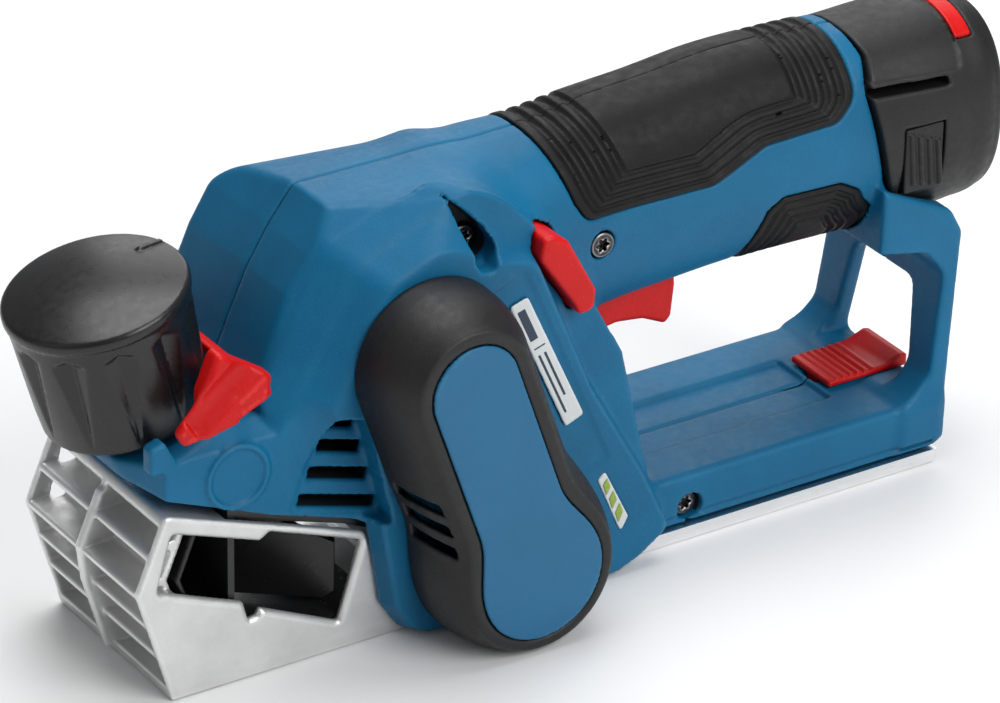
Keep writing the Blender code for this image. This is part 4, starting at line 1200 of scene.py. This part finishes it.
def chute_front():
    """The duct's black front sheet, just behind the shoe's grille, cut away round the knob's boss."""
    sheet = prism(CHUTE_SHEET, -27.7, 27.7, edge=0.2)
    body = without(sheet, [rod(KNOB_BASE - KNOB_AXIS * 34, KNOB_BASE, 8.6)])
    piece("chute_sheet", body, 0.6, BLACK_SMOOTH, "housing", box=((-174, -28, 4), (-155, 28, 51)))


# ---- screws
def screws():
    """Round heads with star recesses."""
    for number, (x0, z0, head_y) in SCREWS.items():
        name = f"housing_screw_{number}"
        low, high = node_box(name)

        def screw(x, y, z, x0=x0, z0=z0, top=low[1], end=high[1]):
            away, turn = np.hypot(x - x0, z - z0), np.arctan2(z - z0, x - x0)
            head = thickened(away - 3.7, np.maximum(top - y, y - top - 2.6), 0.5)
            shaft = np.maximum(away - 1.7, np.maximum(top + 1 - y, y - end))
            star = np.maximum(away - 1.75 - 0.42 * np.cos(6 * turn), y - top - 1.9)
            return np.maximum(np.minimum(head, shaft), -star)

        piece(f"star_screw_{number}", screw, 0.3, DARK_STEEL, "housing", name)


# ---- CAD pieces that keep their shape
KEPT = {
    GROUND: ("rear_sole",),
    CAST: ("drum",),
    STEEL: (
        "motor_bearing_left", "motor_bearing_right", "drum_bearing_left", "drum_bearing_right",
        "motor_shaft", "rotor_magnet", "drive_pulley", "driven_pulley", "drum_shaft",
        "planer_blade", "blade_clamp", "knob_spindle", "hex_key",
    ),
    DARK_STEEL: ("sole_screw_1", "sole_screw_2", "sole_screw_3"),
    COPPER: ("motor_stator",),
    RUBBER: ("drive_belt",),
    BLACK_SMOOTH: (
        "chip_chute", "chip_deflector", "switch_body", "control_module", "battery_terminal",
        "cooling_fan",
    ),
}


def kept_nodes():
    """Gives the CAD nodes whose shape is kept a better material."""
    for look, names in KEPT.items():
        for name in names:
            node = frame["nodes"][name]
            if not node.material_slots:
                node.data.materials.append(look)
            for holder in node.material_slots:
                holder.material = look


housing()
pads()
belt_cover()
cover_inlay()
label()
charge_gauge()
depth_knob()
chip_lever()
lock_off()
trigger()
key_holder()
battery()
release_tabs()
front_shoe()
chute_front()
screws()
kept_nodes()


# ---- stage and camera
def camera():
    """Front left and above, as a catalogue picture of the tool is taken."""
    azimuth, elevation, roll = -33.3249, 28.1540, 0.944
    distance, aside, above = 1.62802, 0.104062, 0.0811906
    turn, rise, lean = (math.radians(v) for v in (azimuth, elevation, roll))
    back = Vector((math.sin(turn) * math.cos(rise), -math.cos(turn) * math.cos(rise), math.sin(rise)))
    right = Vector((math.cos(turn), math.sin(turn), 0.0))
    up = back.cross(right)
    tilted_right = right * math.cos(lean) + up * math.sin(lean)
    tilted_up = up * math.cos(lean) - right * math.sin(lean)
    made = bpy.data.cameras.new("camera")
    made.lens = 216.0
    made.sensor_width = 36.0
    obj = placed("camera", made)
    place = tilted_right * aside + tilted_up * above + back * distance - Vector((0.176, 0, 0))
    turned_axes = Matrix((tilted_right, tilted_up, back)).transposed().to_4x4()
    obj.matrix_world = Matrix.Translation(place) @ turned_axes
    bpy.context.scene.camera = obj


def light(name, place, target, size, power):
    """An area light that faces a point."""
    made = bpy.data.lights.new(name, "AREA")
    made.shape = "RECTANGLE"
    made.size, made.size_y = size
    made.energy = power
    obj = placed(name, made)
    obj.location = place
    obj.rotation_euler = (Vector(target) - Vector(place)).to_track_quat("-Z", "Y").to_euler()


def studio():
    """A pale floor, four soft lights and a dim pale world."""
    floor_mesh = bpy.data.meshes.new("floor")
    reach = 6.0
    corners = [(-reach, -reach, 0), (reach, -reach, 0), (reach, reach, 0), (-reach, reach, 0)]
    floor_mesh.from_pydata(corners, [], [(0, 1, 2, 3)])
    floor = placed("floor", floor_mesh)
    look = Look("pale_floor", 0.7)
    look.colour(look.mix(look.noise(3.0), (0.86, 0.86, 0.86), (0.84, 0.84, 0.84)))
    floor_mesh.materials.append(look.material)
    floor.location.z = min(CAD_BOUNDS[0][2], 0.0) - 0.0002
    middle = (-0.05, 0, 0.06)
    light("key", (0.35, -1.35, 1.1), middle, (1.1, 1.1), 20.0)
    light("top", (0.1, 0.3, 1.6), middle, (1.3, 1.3), 22.0)
    light("fill", (-1.6, 0.1, 0.9), middle, (1.0, 1.4), 1.4)
    light("rim", (0.9, 1.3, 0.9), middle, (1.2, 1.2), 7.0)
    world = bpy.data.worlds.new("studio")
    bpy.context.scene.world = world
    world.use_nodes = True
    background = world.node_tree.nodes["Background"]
    background.inputs["Color"].default_value = (0.95, 0.97, 1.0, 1.0)
    background.inputs["Strength"].default_value = 0.22


bpy.context.scene.view_settings.view_transform = "Standard"
camera()
studio()
